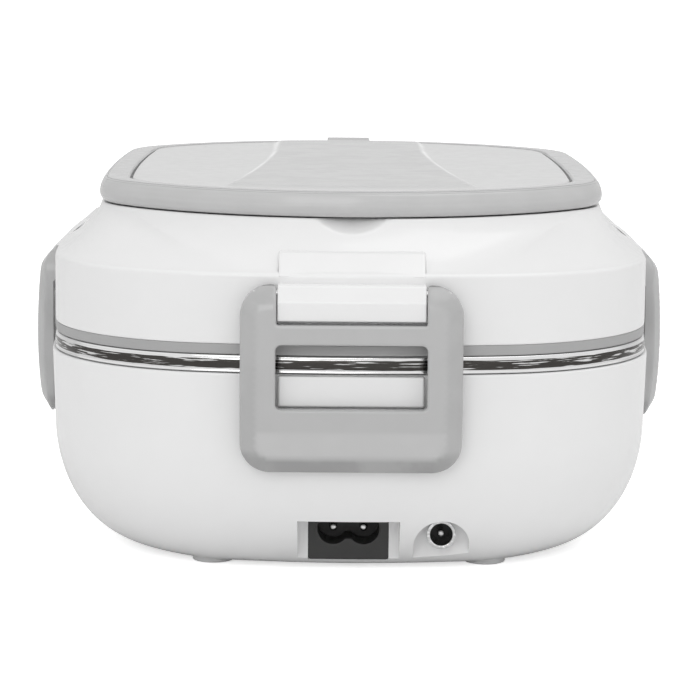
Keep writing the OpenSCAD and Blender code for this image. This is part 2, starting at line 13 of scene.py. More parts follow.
import bmesh
import bpy
import numpy as np
from mathutils import Matrix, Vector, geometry


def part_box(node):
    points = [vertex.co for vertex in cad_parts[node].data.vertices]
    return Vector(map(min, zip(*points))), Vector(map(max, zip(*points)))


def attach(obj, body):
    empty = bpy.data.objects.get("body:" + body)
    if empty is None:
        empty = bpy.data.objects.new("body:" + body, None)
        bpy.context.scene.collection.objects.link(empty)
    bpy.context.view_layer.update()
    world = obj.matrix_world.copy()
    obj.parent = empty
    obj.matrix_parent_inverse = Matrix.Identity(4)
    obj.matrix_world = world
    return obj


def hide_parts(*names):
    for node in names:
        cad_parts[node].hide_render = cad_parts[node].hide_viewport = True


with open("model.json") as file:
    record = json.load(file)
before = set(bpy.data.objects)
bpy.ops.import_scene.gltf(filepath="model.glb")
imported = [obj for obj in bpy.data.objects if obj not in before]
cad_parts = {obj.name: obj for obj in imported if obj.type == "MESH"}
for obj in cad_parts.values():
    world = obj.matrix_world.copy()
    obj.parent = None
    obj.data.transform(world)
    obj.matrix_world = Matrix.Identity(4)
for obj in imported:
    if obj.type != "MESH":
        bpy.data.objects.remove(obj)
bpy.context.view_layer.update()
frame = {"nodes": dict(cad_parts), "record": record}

MM = 0.001

# %% [markdown]
# ## Sizes from the frame
#
# Seen from above, the box is a rectangle with round corners whose four sides bow outwards. Every
# side and every corner is an arc of its own, and neighbouring arcs share their tangent. A plan is
# therefore two pairs of numbers: where the corner arc has its centre, and how much longer the radii
# of the long and the short side are. Pushing a plan outwards by a distance r keeps all the
# centres, so one plan and a profile (r, height) describe the bowl, the container, the seal and
# the lid's wall. The cover on top has a rounder plan of its own. These plans differ from the
# construction model's, whose sides are straight, and everything here stays inside it.


# %% Sizes from the frame
def low(node):
    """Lowest corner of a construction node, in millimetres."""
    return np.array(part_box(node)[0]) / MM


def high(node):
    """Highest corner of a construction node, in millimetres."""
    return np.array(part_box(node)[1]) / MM


def plan_shape(ends, r, bow):
    """Corner centre and extra side radii of a plan. It reaches ends (x, y) at mid-side, its corners
    have radius r and its long and short sides the radii in bow. Where a corner meets a side, the
    side's radius less r is the distance between their centres, which is solved step by step."""
    x, y = ends - r
    for _ in range(12):
        x, y = (math.sqrt((bow[0] - r) ** 2 - y * y) - bow[0] + ends[0],
                math.sqrt((bow[1] - r) ** 2 - x * x) - bow[1] + ends[1])
    return np.array([x, y]), np.array(bow) - r


band_r, base_r, lid_r, cover_r = 54.9, 55.0, 54.7, 36.0
reach = high("steel_container")[:2] - band_r + base_r
cover_reach = high("cover_frame")[0] + 0.6
body_bows, cover_bows = (850.0, 240.0), (1100.0, 84.0)
BODY = plan_shape(reach, base_r, body_bows)
COVER = plan_shape(np.array([cover_reach, cover_reach + 29.0]), cover_r, cover_bows)
rim_z, deck_z, shoulder_z = 58.5, 100.0, 85.8
steel_z = high("steel_container")[2]
lid_z = low("lid_shell")[2]
print("body reaches", reach.round(2), "with corner centres", BODY[0].round(2))
print("cover has its corner centres at", COVER[0].round(2), "and the lid starts at", round(lid_z, 1))

# %% [markdown]
# ## Carrying a profile round the plan
#
# A swept wall is a grid of two parameters: one runs round the plan as a list of stations, the
# other along the profile. A station holds a base point and an outward direction. On a corner the
# base point rests while the direction turns. On a side the base point runs along an arc whose
# radius is the side's extra radius. The surface is then one line: base point plus r times
# direction, at height z. Nothing has to be trimmed or joined afterwards.


# %% Stations round the plan
def plan(turn_steps=24, across=12, along=12, shape=BODY):
    """Stations counter-clockwise round a plan: columns are base x, base y, direction x and y."""
    centre, extra = shape
    lean = np.arcsin(centre[::-1] / extra)
    signs = np.array([(1, 1), (-1, 1), (-1, -1), (1, -1)])
    parts = []
    for k in range(4):
        odd = k % 2
        angle = math.pi / 2 * k + np.linspace(lean[odd], math.pi / 2 - lean[1 - odd], turn_steps + 1)
        here = signs[k] * centre
        parts.append(np.stack([here[0] + 0 * angle, here[1] + 0 * angle, np.cos(angle), np.sin(angle)], 1))
        side = 1 - odd
        count = along if odd else across
        angle = math.pi / 2 * (k + 1) + lean[side] * np.linspace(-1, 1, count + 1)[1:-1]
        middle = np.array([math.cos(math.pi / 2 * (k + 1)), math.sin(math.pi / 2 * (k + 1))])
        middle *= centre[side] - extra[side] * math.cos(lean[side])
        direction = np.stack([np.cos(angle), np.sin(angle)], 1)
        parts.append(np.concatenate([middle + extra[side] * direction, direction], 1))
    return np.concatenate(parts)


def carry(profile, stations):
    """Grid of points: base + r * direction, at height z, for every station and profile point."""
    xy = stations[:, None, :2] + profile[None, :, :1] * stations[:, None, 2:]
    z = np.broadcast_to(profile[None, :, 1:], xy.shape[:2] + (1,))
    return np.concatenate([xy, z], axis=2)


FINE = plan(28, 16, 16)
print("the plan of the smooth pieces has", len(FINE), "stations")

# %% [markdown]
# ## Soft corners on a profile
#
# Moulded plastic has no truly sharp edge, and it is the small round that catches the light. Each
# corner p of an outline may be cut back by a length c and replaced by the quadratic curve
# (1-s)^2 a + 2s(1-s) p + s^2 b between the cut points a and b. A guard point just outside
# each cut keeps the flat beside it flat, because smooth shading blends only from vertex to vertex.


# %% Outline helpers
def soften(points, cuts, steps=4, guard=0.1):
    """Outline with each corner replaced by a quadratic curve of the given cut length."""
    points = np.asarray(points, float)
    cuts = np.broadcast_to(np.asarray(cuts, float), len(points))[:, None]
    before = np.roll(points, 1, axis=0) - points
    after = np.roll(points, -1, axis=0) - points
    before /= np.maximum(np.linalg.norm(before, axis=1, keepdims=True), 1e-9)
    after /= np.maximum(np.linalg.norm(after, axis=1, keepdims=True), 1e-9)
    s = np.linspace(0, 1, steps + 1)[None, :, None]
    a = (points + before * cuts)[:, None]
    b = (points + after * cuts)[:, None]
    curve = (1 - s) ** 2 * a + 2 * s * (1 - s) * points[:, None] + s ** 2 * b
    first = (points + before * (cuts + guard))[:, None]
    last = (points + after * (cuts + guard))[:, None]
    rows = np.concatenate([first, curve, last], axis=1)
    keep = np.repeat(cuts > 0, steps + 3, axis=1)
    keep[:, 1] = True
    return rows[keep]


def normals(outline):
    """Unit normals of a closed outline, on the right of its course: (dy, -dx) over their length."""
    along = np.roll(outline, -1, axis=0) - np.roll(outline, 1, axis=0)
    normal = np.stack([along[:, 1], -along[:, 0]], 1)
    return normal / np.maximum(np.linalg.norm(normal, axis=1, keepdims=True), 1e-9)


def arc(centre, rx, ry, start, end, steps=10):
    """Points on an ellipse about centre, from angle start to angle end in degrees."""
    t = np.radians(np.linspace(start, end, steps + 1))
    return np.stack([centre[0] + rx * np.cos(t), centre[1] + ry * np.sin(t)], 1)


def circle(centre, r, steps=48):
    """Closed outline of a circle, without its first point a second time."""
    return arc(centre, r, r, 0, 360 - 360 / steps, steps - 1)


print("one softened corner has", len(soften([(0, 0), (4, 0), (4, 4)], [0, 1, 0])) - 2, "points")

# %% [markdown]
# ## From arrays to pieces
#
# A grid of points becomes quads by index arithmetic. A piece is a closed body, so its signed
# volume tells whether its faces look outwards, and a negative one is turned. Each piece then rides
# on a body of the mechanism, takes its finish from a named slot and may stand in for a
# construction node.


# %% Mesh helpers
def quads(n, m, close_n=True, close_m=False, start=0):
    """Quads of an n by m grid of vertices, closed round either way."""
    i = np.arange(n if close_n else n - 1)[:, None]
    j = np.arange(m if close_m else m - 1)[None, :]
    i2, j2 = (i + 1) % n, (j + 1) % m
    return (start + np.stack([i * m + j, i2 * m + j, i2 * m + j2, i * m + j2], -1)).reshape(-1, 4)


def round_faces(n, m, closed=False):
    """Faces of a grid that runs round n stations, with a flat cap over each end of an open one."""
    first = np.arange(n) * m
    caps = [] if closed else [first[::-1].tolist(), (first + m - 1).tolist()]
    return quads(n, m, True, closed).tolist() + caps


def tube_faces(n, m):
    """Faces of n closed outlines of m points one behind the other, with a cap at either end."""
    first = np.arange(m)
    return quads(n, m, False, True).tolist() + [first.tolist(), (first + (n - 1) * m)[::-1].tolist()]


def positions(mesh):
    """Vertex positions of a mesh as an array."""
    co = np.empty(len(mesh.vertices) * 3)
    mesh.vertices.foreach_get("co", co)
    return co.reshape(-1, 3)


def volume(mesh):
    """Signed volume of a mesh: the sum over its triangles of a . (b x c) / 6."""
    mesh.calc_loop_triangles()
    tri = np.empty(len(mesh.loop_triangles) * 3, int)
    mesh.loop_triangles.foreach_get("vertices", tri)
    a, b, c = positions(mesh)[tri.reshape(-1, 3)].transpose(1, 0, 2)
    return float(np.einsum("ij,ij->i", a, np.cross(b, c)).sum() / 6)


def placed(name, data):
    """New object for a mesh, a lamp or the camera, linked to the scene."""
    made = bpy.data.objects.new(name, data)
    bpy.context.scene.collection.objects.link(made)
    return made


def form(name, points, faces, recalculate=False):
    """Mesh object from points in millimetres and faces, smooth, with its faces outwards."""
    mesh = bpy.data.meshes.new(name)
    mesh.from_pydata((np.asarray(points, float) * MM).tolist(), [], faces)
    mesh.validate()
    if recalculate:
        work = bmesh.new()
        work.from_mesh(mesh)
        bmesh.ops.recalc_face_normals(work, faces=work.faces)
        work.to_mesh(mesh)
        work.free()
    if volume(mesh) < 0:
        mesh.flip_normals()
    mesh.shade_smooth()
    mesh.update()
    return placed(name, mesh)


def swept(name, profile, stations, closed=True, drawn_in=None):
    """A profile carried round the plan. An open one starts and ends in a flat cap in the middle.
    The grid drawn_in, if given, says how far each point is moved inwards along its station."""
    points = carry(profile, stations)
    if drawn_in is not None:
        points[:, :, :2] -= drawn_in[:, :, None] * stations[:, None, 2:]
    return form(name, points.reshape(-1, 3), round_faces(*points.shape[:2], closed))


def joined(name, shapes, recalculate=False):
    """One mesh object from several (points, faces) pairs."""
    points, faces, start = [], [], 0
    for p, f in shapes:
        points.append(p)
        faces += [[start + v for v in face] for face in f]
        start += len(p)
    return form(name, np.concatenate(points), faces, recalculate)


def mark(shape, name, values):
    """Writes one number for each vertex as a point attribute, for the finish to read."""
    shape.data.attributes.new(name, "FLOAT", "POINT").data.foreach_set("value", values)


def dress(shape, body, slot, *nodes):
    """Rides the piece on a body, names its finish, and lets it stand in for construction nodes."""
    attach(shape, body)
    if nodes:
        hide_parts(*nodes)
    shape.data.materials.clear()
    shape.data.materials.append(FINISH[slot])
    print(shape.name, "rides on", body, "with", len(shape.data.polygons), "faces")


def cut(shape, tool):
    """Takes the tool's volume out of the shape with an exact Boolean, then removes the tool."""
    mod = shape.modifiers.new("cut", "BOOLEAN")
    mod.operation = "DIFFERENCE"
    mod.solver = "EXACT"
    mod.use_self = True
    mod.object = tool
    graph = bpy.context.evaluated_depsgraph_get()
    mesh = bpy.data.meshes.new_from_object(shape.evaluated_get(graph))
    shape.modifiers.clear()
    shape.data = mesh
    bpy.data.objects.remove(tool)
    mesh.shade_smooth()
    mesh.set_sharp_from_angle(angle=math.radians(28))


print("helpers ready")

# %% [markdown]
# ## Bars and turned parts
#
# Lugs, catches and posts are short bars: one outline of outward distance and height, carried
# across the width. Towards each end the outline is drawn in along a quarter circle, which
# rounds the ends as a mould would. Pins and rings are turned on a lathe, so their profile runs
# round an axis instead.


# %% Bars, turned parts and the four sides
def bar(outline, half, edge=0.4, middle=0.0, steps=4):
    """Closed outline (outward, height) carried from -half to half, its ends drawn in by edge."""
    outline = np.asarray(outline, float)
    t = np.linspace(0, math.pi / 2, steps + 1)
    x = np.concatenate([-half + edge * (1 - np.cos(t)), [-half + edge + 0.1, half - edge - 0.1],
                        half - edge * (1 - np.cos(t[::-1]))])
    inset = np.concatenate([edge * (1 - np.sin(t)), [0, 0], edge * (1 - np.sin(t[::-1]))])
    ring = outline[None] - inset[:, None, None] * normals(outline)[None]
    points = np.concatenate([np.broadcast_to(x[:, None, None] + middle, ring.shape[:2] + (1,)), ring], 2)
    return points.reshape(-1, 3), tube_faces(*points.shape[:2])


def on_side(points, k):
    """Moves (across, outward, height) to side k of the box: 0 front, 1 right, 2 rear, 3 left."""
    x, y, z = np.asarray(points, float).T
    out = -(reach[1 - k % 2] + y)
    c, s = round(math.cos(k * math.pi / 2)), round(math.sin(k * math.pi / 2))
    return np.stack([c * x - s * out, s * x + c * out, z], 1)


def turned(profile, centre, steps=48, closed=True):
    """Profile (radius, depth) turned about an axis along Y through centre (x, z)."""
    profile = np.asarray(profile, float)
    a = np.linspace(0, 2 * math.pi, steps, endpoint=False)[:, None]
    r, y = profile[None, :, 0], profile[None, :, 1]
    points = np.stack([centre[0] + r * np.cos(a), y + 0 * a, centre[1] + r * np.sin(a)], 2)
    return points.reshape(-1, 3), round_faces(*points.shape[:2], closed)


print("bars and turned parts ready")

# %% [markdown]
# ## The camera
#
# The photograph was taken with a long lens, about 0.83 m from the middle of the box and a little
# above it, looking down by 8 degrees. The lens is stated for a 36 mm wide picture. A small turn and a
# small roll remain, because the box doesn't stand quite square to the lens.

# %% Camera
eye = np.array([-5.7, -822.3, 168.7])
lens_mm = 134.13
look_down, turn_left, roll = 8.336, -0.43, 0.5

camera_data = bpy.data.cameras.new("camera")
camera_data.lens = lens_mm
camera_data.sensor_width = 36.0
camera_data.clip_start = 0.05
camera = placed("camera", camera_data)
camera.matrix_world = (
    Matrix.Translation(eye * MM)
    @ Matrix.Rotation(math.radians(turn_left), 4, "Z")
    @ Matrix.Rotation(math.radians(90 - look_down), 4, "X")
    @ Matrix.Rotation(math.radians(roll), 4, "Z")
)
bpy.context.scene.camera = camera
print("camera", eye, "mm, lens", lens_mm, "mm")

# %% [markdown]
# ## The studio
#
# The box stands on a pale sweep in an even, bright room, as in a light tent. The room itself is the
# main lamp, and two softboxes give the plastic its long reflections. Camera, mirror and glass rays
# see the room at full white, while the light that falls on the box stays a little lower, so that a
# colour comes out about as it is written.


# %% Wiring helpers
def feed(tree, socket, value):
    """Links a socket to another node's output, or sets it to a plain number or colour."""
    if isinstance(value, (int, float, tuple)):
        socket.default_value = value
    else:
        tree.links.new(value, socket)


def maths(tree, operation, first, second):
    """Result of a Math node on two values, each a number or a socket."""
    node = tree.nodes.new("ShaderNodeMath")
    node.operation = operation
    feed(tree, node.inputs[0], first)
    feed(tree, node.inputs[1], second)
    return node.outputs[0]


print("wiring helpers ready")

# %% Studio
room_light = 0.79
lamp_aim = (0, 0, 0.05)


def world_studio():
    """White room: strength 1 where it is seen or mirrored, room_light where it only lights."""
    world = bpy.data.worlds.new("studio")
    bpy.context.scene.world = world
    world.use_nodes = True
    tree = world.node_tree
    back = tree.nodes["Background"]
    back.inputs["Color"].default_value = (1, 1, 1, 1)
    path = tree.nodes.new("ShaderNodeLightPath")
    mirrored = maths(tree, "MAXIMUM", path.outputs["Is Glossy Ray"], path.outputs["Is Transmission Ray"])
    seen = maths(tree, "MAXIMUM", path.outputs["Is Camera Ray"], mirrored)
    strength = tree.nodes.new("ShaderNodeMapRange")
    feed(tree, strength.inputs["To Min"], room_light)
    feed(tree, strength.inputs["To Max"], 1.0)
    feed(tree, strength.inputs["Value"], seen)
    feed(tree, back.inputs["Strength"], strength.outputs[0])


def softbox(name, place, size, power):
    """A rectangular lamp at a place in metres that faces the box."""
    data = bpy.data.lights.new(name, "AREA")
    data.shape = "RECTANGLE"
    data.size, data.size_y = size
    data.energy = power
    z = np.array(place) - np.array(lamp_aim)
    z /= np.linalg.norm(z)
    x = np.cross((0, 0, 1), z)
    x /= np.linalg.norm(x)
    axes = Matrix(np.stack([x, np.cross(z, x), z], 1).tolist())
    placed(name, data).matrix_world = Matrix.Translation(place) @ axes.to_4x4()


world_studio()
softbox("front_box", (-0.35, -1.6, 0.9), (0.9, 0.9), 4)
softbox("top_box", (0.5, -0.2, 1.5), (1.2, 0.9), 4)
bpy.context.scene.view_settings.view_transform = "Standard"
print("room light", room_light)

# %% [markdown]
# ## The floor
#
# A white sweep: flat under the box and rising far behind it. It is a surface of two parameters,
# width and path length, and the path turns upwards on a quarter circle. It is lit like
# everything else, so it keeps the shadow that the box throws.


# %% Floor
def floor_sweep():
    """Path: flat to y = 2 m, a quarter circle of radius 1 m, then upright."""
    t = np.radians(np.linspace(0, 90, 13))
    path = np.concatenate([[(-6.0, 0.0)], np.stack([2 + np.sin(t), 1 - np.cos(t)], 1), [(3.0, 5.0)]])
    points = np.column_stack([np.repeat([-6.0, 6.0], len(path)), np.tile(path, (2, 1))])
    mesh = bpy.data.meshes.new("floor")
    mesh.from_pydata(points.tolist(), [], quads(2, len(path), False, False).tolist())
    mesh.shade_smooth()
    return placed("floor", mesh)


floor = floor_sweep()
print("floor has", len(floor.data.polygons), "faces")

# %% [markdown]
# ## Finishes: moulded plastic
#
# Gloss plastic is never one flat colour. The melt leaves faint clouds where it cooled, and the mould's
# polish leaves a very fine waviness that makes reflections swim. Both are small: a percent or two
# of colour, a few hundredths of roughness, a hundredth of a millimetre of height. The effect is a
# node group with colours and roughness as inputs, so white, grey and black plastic share it.


# %% Node group helpers
def node_group(name, inputs):
    """Shader group with inputs by default value, whose outputs are a colour, a roughness, a height."""
    tree = bpy.data.node_groups.new(name, "ShaderNodeTree")
    for label, value in inputs.items():
        kind = "NodeSocketColor" if isinstance(value, tuple) else "NodeSocketFloat"
        tree.interface.new_socket(name=label, in_out="INPUT", socket_type=kind).default_value = value
    for label, kind in (("Base Color", "Color"), ("Roughness", "Float"), ("Height", "Float")):
        tree.interface.new_socket(name=label, in_out="OUTPUT", socket_type="NodeSocket" + kind)
    return tree, tree.nodes.new("NodeGroupInput"), tree.nodes.new("NodeGroupOutput")


def noise(tree, coords, detail, scale):
    """Noise texture on the given coordinates. The scale may be a socket."""
    node = tree.nodes.new("ShaderNodeTexNoise")
    for label, value in (("Detail", detail), ("Vector", coords), ("Scale", scale)):
        feed(tree, node.inputs[label], value)
    return node.outputs["Fac"]


def ramp(tree, value, start, end, low_value=0.0, high_value=1.0):
    """Smooth Map Range of a value from start..end to low..high, which may be sockets."""
    node = tree.nodes.new("ShaderNodeMapRange")
    node.interpolation_type = "SMOOTHSTEP"
    for label, setting in (("Value", value), ("From Min", start), ("From Max", end),
                           ("To Min", low_value), ("To Max", high_value)):
        feed(tree, node.inputs[label], setting)
    return node.outputs["Result"]


def blend(tree, factor, first, second):
    """Colour mix of two colours by a factor."""
    node = tree.nodes.new("ShaderNodeMix")
    node.data_type = "RGBA"
    tree.links.new(factor, node.inputs["Factor"])
    for label, colour in (("A", first), ("B", second)):
        feed(tree, [s for s in node.inputs if s.name == label and s.type == "RGBA"][0], colour)
    return [s for s in node.outputs if s.type == "RGBA"][0]


def object_coordinates(tree):
    """Object coordinates of the piece itself."""
    return tree.nodes.new("ShaderNodeTexCoord").outputs["Object"]


def put_out(tree, made, *results):
    """Feeds a group's colour, roughness and height to its output node."""
    for socket, result in zip(made.inputs, results):
        tree.links.new(result, socket)
    return tree


print("node helpers ready")


# %% Group: moulded surface
def moulded_surface():
    """Clouds of 12 mm mix two colours and two roughnesses; a 0.7 mm waviness is the height."""
    tree, given, made = node_group(
        "moulded surface",
        {"Colour": (0.8, 0.8, 0.8, 1), "Cloud Colour": (0.78, 0.78, 0.78, 1),
         "Roughness": 0.2, "Cloud Roughness": 0.24, "Wave Scale": 1400.0})
    where = object_coordinates(tree)
    clouds = ramp(tree, noise(tree, where, 4.0, 80.0), 0.35, 0.65)
    rough = ramp(tree, noise(tree, where, 5.0, 260.0), 0.3, 0.7,
                 given.outputs["Roughness"], given.outputs["Cloud Roughness"])
    wave = noise(tree, where, 2.0, given.outputs["Wave Scale"])
    share = ramp(tree, clouds, 0.0, 1.0, 0.0, cloud_share)
    colour = blend(tree, share, given.outputs["Colour"], given.outputs["Cloud Colour"])
    return put_out(tree, made, colour, rough, wave)


cloud_share = 0.35
MOULDED = moulded_surface()
print(MOULDED.name, "outputs", [s.name for s in MOULDED.nodes["Group Output"].inputs if s.name])

# %% [markdown]
# ## Finishes: metal
#
# Four metals are needed. The container's rolled rim is polished steel that the rolling left
# slightly wavy, shown as a bump, with painted reflection in its colour: dark streaks that stand in for a
# darker room mirrored in it. The sheet inside is smoother.
# The heater plate and the screws carry fine brush lines, and the contacts are bright nickel. One
# group gives streaks of a given stretch, and each material sets how strong and how long they are.


# %% Group: streaked metal
def streaked_metal():
    """Noise on coordinates scaled separately along X, Y and Z, so that streaks lie along the sheet."""
    tree, given, made = node_group(
        "streaked metal",
        {"Colour": (0.6, 0.6, 0.6, 1), "Streak Colour": (0.4, 0.4, 0.4, 1), "Streak Share": 0.5,
         "Roughness": 0.15, "Streak Roughness": 0.3, "Along Scale": 150.0, "Up Scale": 900.0})
    stretch = tree.nodes.new("ShaderNodeCombineXYZ")
    for axis, label in (("X", "Along Scale"), ("Y", "Along Scale"), ("Z", "Up Scale")):
        feed(tree, stretch.inputs[axis], given.outputs[label])
    scaled = tree.nodes.new("ShaderNodeVectorMath")
    scaled.operation = "MULTIPLY"
    tree.links.new(object_coordinates(tree), scaled.inputs[0])
    tree.links.new(stretch.outputs[0], scaled.inputs[1])
    streaks = noise(tree, scaled.outputs[0], 5.0, 1.0)
    edge = maths(tree, "ADD", given.outputs["Streak Share"], streak_edge)
    mask = ramp(tree, streaks, given.outputs["Streak Share"], edge, 1.0, 0.0)
    colour = blend(tree, mask, given.outputs["Colour"], given.outputs["Streak Colour"])
    rough = ramp(tree, mask, 0.0, 1.0, given.outputs["Roughness"], given.outputs["Streak Roughness"])
    return put_out(tree, made, colour, rough, streaks)


streak_edge = 0.08
STREAKED = streaked_metal()
print(STREAKED.name, "ready")

# %% [markdown]
# ## One material for each finish
#
# A material is a Principled shader fed by a group: the group gives what changes over the
# surface, and whatever is the same all over, such as metallic, is set on the shader itself.


# %% Materials
def grey(value, tint=0.0):
    """A near-neutral colour: the tint makes it warmer, or cooler below zero."""
    return (value * (1 + tint), value, value * (1 - tint), 1.0)


def finish(name, group, bump, metallic=0.0, specular=0.5, bump_mm=0.02, mask=None, **values):
    """Material whose Principled shader is fed by a group, with a Bump node for its height.

    A mask (attribute, group input, value at 0, value at 1) lets an attribute set one input."""
    made = bpy.data.materials.new(name)
    made.use_nodes = True
    tree = made.node_tree
    shader = tree.nodes["Principled BSDF"]
    shader.inputs["Metallic"].default_value = metallic
    shader.inputs["Specular IOR Level"].default_value = specular
    node = tree.nodes.new("ShaderNodeGroup")
    node.node_tree = group
    for label, value in values.items():
        node.inputs[label.replace("_", " ")].default_value = value
    if mask:
        attribute, label, at_0, at_1 = mask
        share = tree.nodes.new("ShaderNodeAttribute")
        share.attribute_name = attribute
        if isinstance(at_0, tuple):
            chosen = blend(tree, share.outputs["Fac"], at_0, at_1)
        else:
            chosen = ramp(tree, share.outputs["Fac"], 0.0, 1.0, at_0, at_1)
        tree.links.new(chosen, node.inputs[label])
    height = tree.nodes.new("ShaderNodeBump")
    height.inputs["Strength"].default_value = bump
    height.inputs["Distance"].default_value = bump_mm * MM
    tree.links.new(node.outputs["Height"], height.inputs["Height"])
    tree.links.new(height.outputs["Normal"], shader.inputs["Normal"])
    for label in ("Base Color", "Roughness"):
        tree.links.new(node.outputs[label], shader.inputs[label])
    return made


def moulded(name, bump, colour, cloud, rough, cloud_rough, **more):
    """A moulded finish from its two colours and its two roughnesses."""
    return finish(name, MOULDED, bump, Colour=colour, Cloud_Colour=cloud, Roughness=rough,
                  Cloud_Roughness=cloud_rough, **more)


def metal(name, bump, colours, roughs, scales, **more):
    """A metal from its own and its streaks' colour and roughness, and the streaks' two scales."""
    return finish(name, STREAKED, bump, metallic=1.0, Colour=colours[0], Streak_Colour=colours[1],
                  Roughness=roughs[0], Streak_Roughness=roughs[1],
                  Along_Scale=scales[0], Up_Scale=scales[1], **more)


FINISH = {
    "white_gloss": moulded("white gloss", 0.15, grey(0.85), grey(0.835), 0.16, 0.2),
    # In grey gloss, the darker second grey of the mask is painted shade on the clips' bevels and
    # underside, and the low mask values on their foot paint a highlight.
    "grey_gloss": moulded("grey gloss", 0.15, grey(0.54), grey(0.5), 0.14, 0.18,
                          mask=("tone_with_painted_light", "Colour", grey(0.54), grey(0.33))),
    # In panel gloss, the white end of the strip mask is a painted highlight on the slope of the raised
    # strip; the flat parts and the strip get their own two greys.
    "panel_gloss": moulded("panel gloss", 0.1, grey(1.0), grey(0.66), 0.2, 0.22,
                           mask=("strip", "Colour", grey(1.0), grey(0.564))),
    "seal_silicone": moulded("seal silicone", 0.3, grey(0.40), grey(0.37), 0.45, 0.55,
                             Wave_Scale=2500.0),
    "well_plastic": moulded("well plastic", 0.3, grey(0.62), grey(0.6), 0.4, 0.5),
    "black_plastic": moulded("black plastic", 0.5, grey(0.03, 0.02), grey(0.036), 0.4, 0.5,
                             Wave_Scale=3000.0),
    "foot_rubber": moulded("foot rubber", 0.4, grey(0.6), grey(0.56), 0.55, 0.65, Wave_Scale=2500.0),
    "foam": moulded("foil foam", 0.6, grey(0.7, 0.04), grey(0.6, 0.05), 0.6, 0.8, Wave_Scale=1800.0),
    "wire_red": moulded("red insulation", 0.2, (0.5, 0.05, 0.03, 1), (0.45, 0.04, 0.03, 1), 0.35, 0.45),
    "wire_black": moulded("black insulation", 0.2, grey(0.03, -0.05), grey(0.04), 0.35, 0.45),
    # Polished steel: its near-black streak colour, used on the band only, is painted reflection of a
    # darker room; the streaks' bump is the real waviness.
    "polished_steel": metal("polished steel", 0.6, (grey(0.75), grey(0.06, 0.06)), (0.12, 0.2),
                            (100.0, 2500.0), bump_mm=0.05, mask=("band", "Streak Share", 0.0, 0.58)),
    "plate_aluminium": metal("plate aluminium", 0.4, (grey(0.75, -0.01), grey(0.6)), (0.3, 0.42),
                             (2500.0, 60.0)),
    "steel_parts": metal("zinc steel", 0.4, (grey(0.6), grey(0.45)), (0.28, 0.4), (1200.0, 1200.0)),
    "contact_metal": metal("contact nickel", 0.3, (grey(0.8), grey(0.6)), (0.12, 0.22), (900.0, 900.0)),
}
print(len(FINISH), "finishes")


# %% Floor material
def floor_finish():
    """The moulded group in near white. Only camera rays see an added glow, which lifts the sweep to
    white and leaves the light that it sends on to the box as it is."""
    made = moulded("floor paint", 0.1, grey(0.9), grey(0.89), 0.7, 0.8, specular=0.2)
    tree = made.node_tree
    shader = tree.nodes["Principled BSDF"]
    shader.inputs["Emission Color"].default_value = (1, 1, 1, 1)
    path = tree.nodes.new("ShaderNodeLightPath")
    glow = maths(tree, "MULTIPLY", path.outputs["Is Camera Ray"], floor_glow)
    feed(tree, shader.inputs["Emission Strength"], glow)
    return made


floor_glow = 0.62
floor.data.materials.append(floor_finish())
print("floor painted")

# %% Finish of the construction nodes
for row in frame["record"]["subparts"]:
    node = frame["nodes"][row["node"]]
    node.data.materials.clear()
    node.data.materials.append(FINISH[row["material_slot"]])
print(len(frame["nodes"]), "construction nodes have their finish")

# %% [markdown]
# ## The white bowl
#
# The base is a bowl: flat underneath, an elliptical quarter turn up to its widest line, then a wall
# that leans out by half a millimetre to the rim. The profile follows that down the inside again.
# Low down at the corners the bowl is rounder, so each point there is drawn in by a share of 3.2 mm
# that grows with the cube of the depth. Near the sockets the inside steps inwards, which leaves
# solid plastic for their niches to be cut from. Niches, foot pads and screw holes are taken out
# with one exact Boolean, because they break through the swept surface where no grid line runs.

# %% Bowl profile
bowl_top, bowl_sweep, foot_h, floor_top = 38.0, 28.0, 1.0, 3.2
bowl_flat, corner_pull = base_r - bowl_sweep, 3.2
rim_out, rim_in = base_r + 0.6, base_r - 1.8
solid_r, solid_top = 36.6, 18.5
bowl_wall = 2.4
cut_angle = math.degrees(math.asin((bowl_top - foot_h) / bowl_top))

bowl_outside = arc((bowl_flat, bowl_top), bowl_sweep, bowl_top, -cut_angle, 0, 40)
bowl_inside = arc((bowl_flat, bowl_top), bowl_sweep - bowl_wall, bowl_top - floor_top, 0, -34, 12)
bowl_corners = np.concatenate([
    [(10.0, foot_h)], bowl_outside, [(rim_out, rim_z), (rim_in, rim_z)], bowl_inside,
    [(solid_r, solid_top), (solid_r, floor_top), (10.0, floor_top)]])
bowl_cuts = np.zeros(len(bowl_corners))
bowl_cuts[len(bowl_outside) + 1:len(bowl_outside) + 3] = 0.6, 0.4
bowl_profile = soften(bowl_corners, bowl_cuts)
print("bowl profile has", len(bowl_profile), "points")

# %% Cutting tools for the bowl
niche_y = low("ac_inlet_body")[1]
niche_top = 16.5
inlet_low, inlet_high = low("ac_inlet_body"), high("ac_inlet_body")
jack = (low("dc_jack_barrel") + high("dc_jack_barrel"))[[0, 2]] / 2
jack_r = (high("dc_jack_barrel") - low("dc_jack_barrel"))[0] / 2
inlet_niche_half, jack_niche_r = 14.3, 7.85
pad_r, screw_r, pocket_top = 6.0, 3.0, foot_h + 1.6
in_front, socket_back = -reach[1] - 5, -90
QUARTERS = np.array([(x, y) for x in (-1, 1) for y in (-1, 1)])
foot_at, screw_at = QUARTERS * (39.0, 87.0), QUARTERS * (56.0, 70.0)


def prism(outline, axis, start, end):
    """Closed flat outline carried straight along an axis (1 for Y, 2 for Z)."""
    outline = np.asarray(outline, float)
    ends = np.repeat([start, end], len(outline))
    return np.insert(np.tile(outline, (2, 1)), axis, ends, axis=1), tube_faces(2, len(outline))


def rectangle(a, b, c, d):
    """Outline of a rectangle from a to b one way and c to d the other."""
    return [(a, c), (b, c), (b, d), (a, d)]


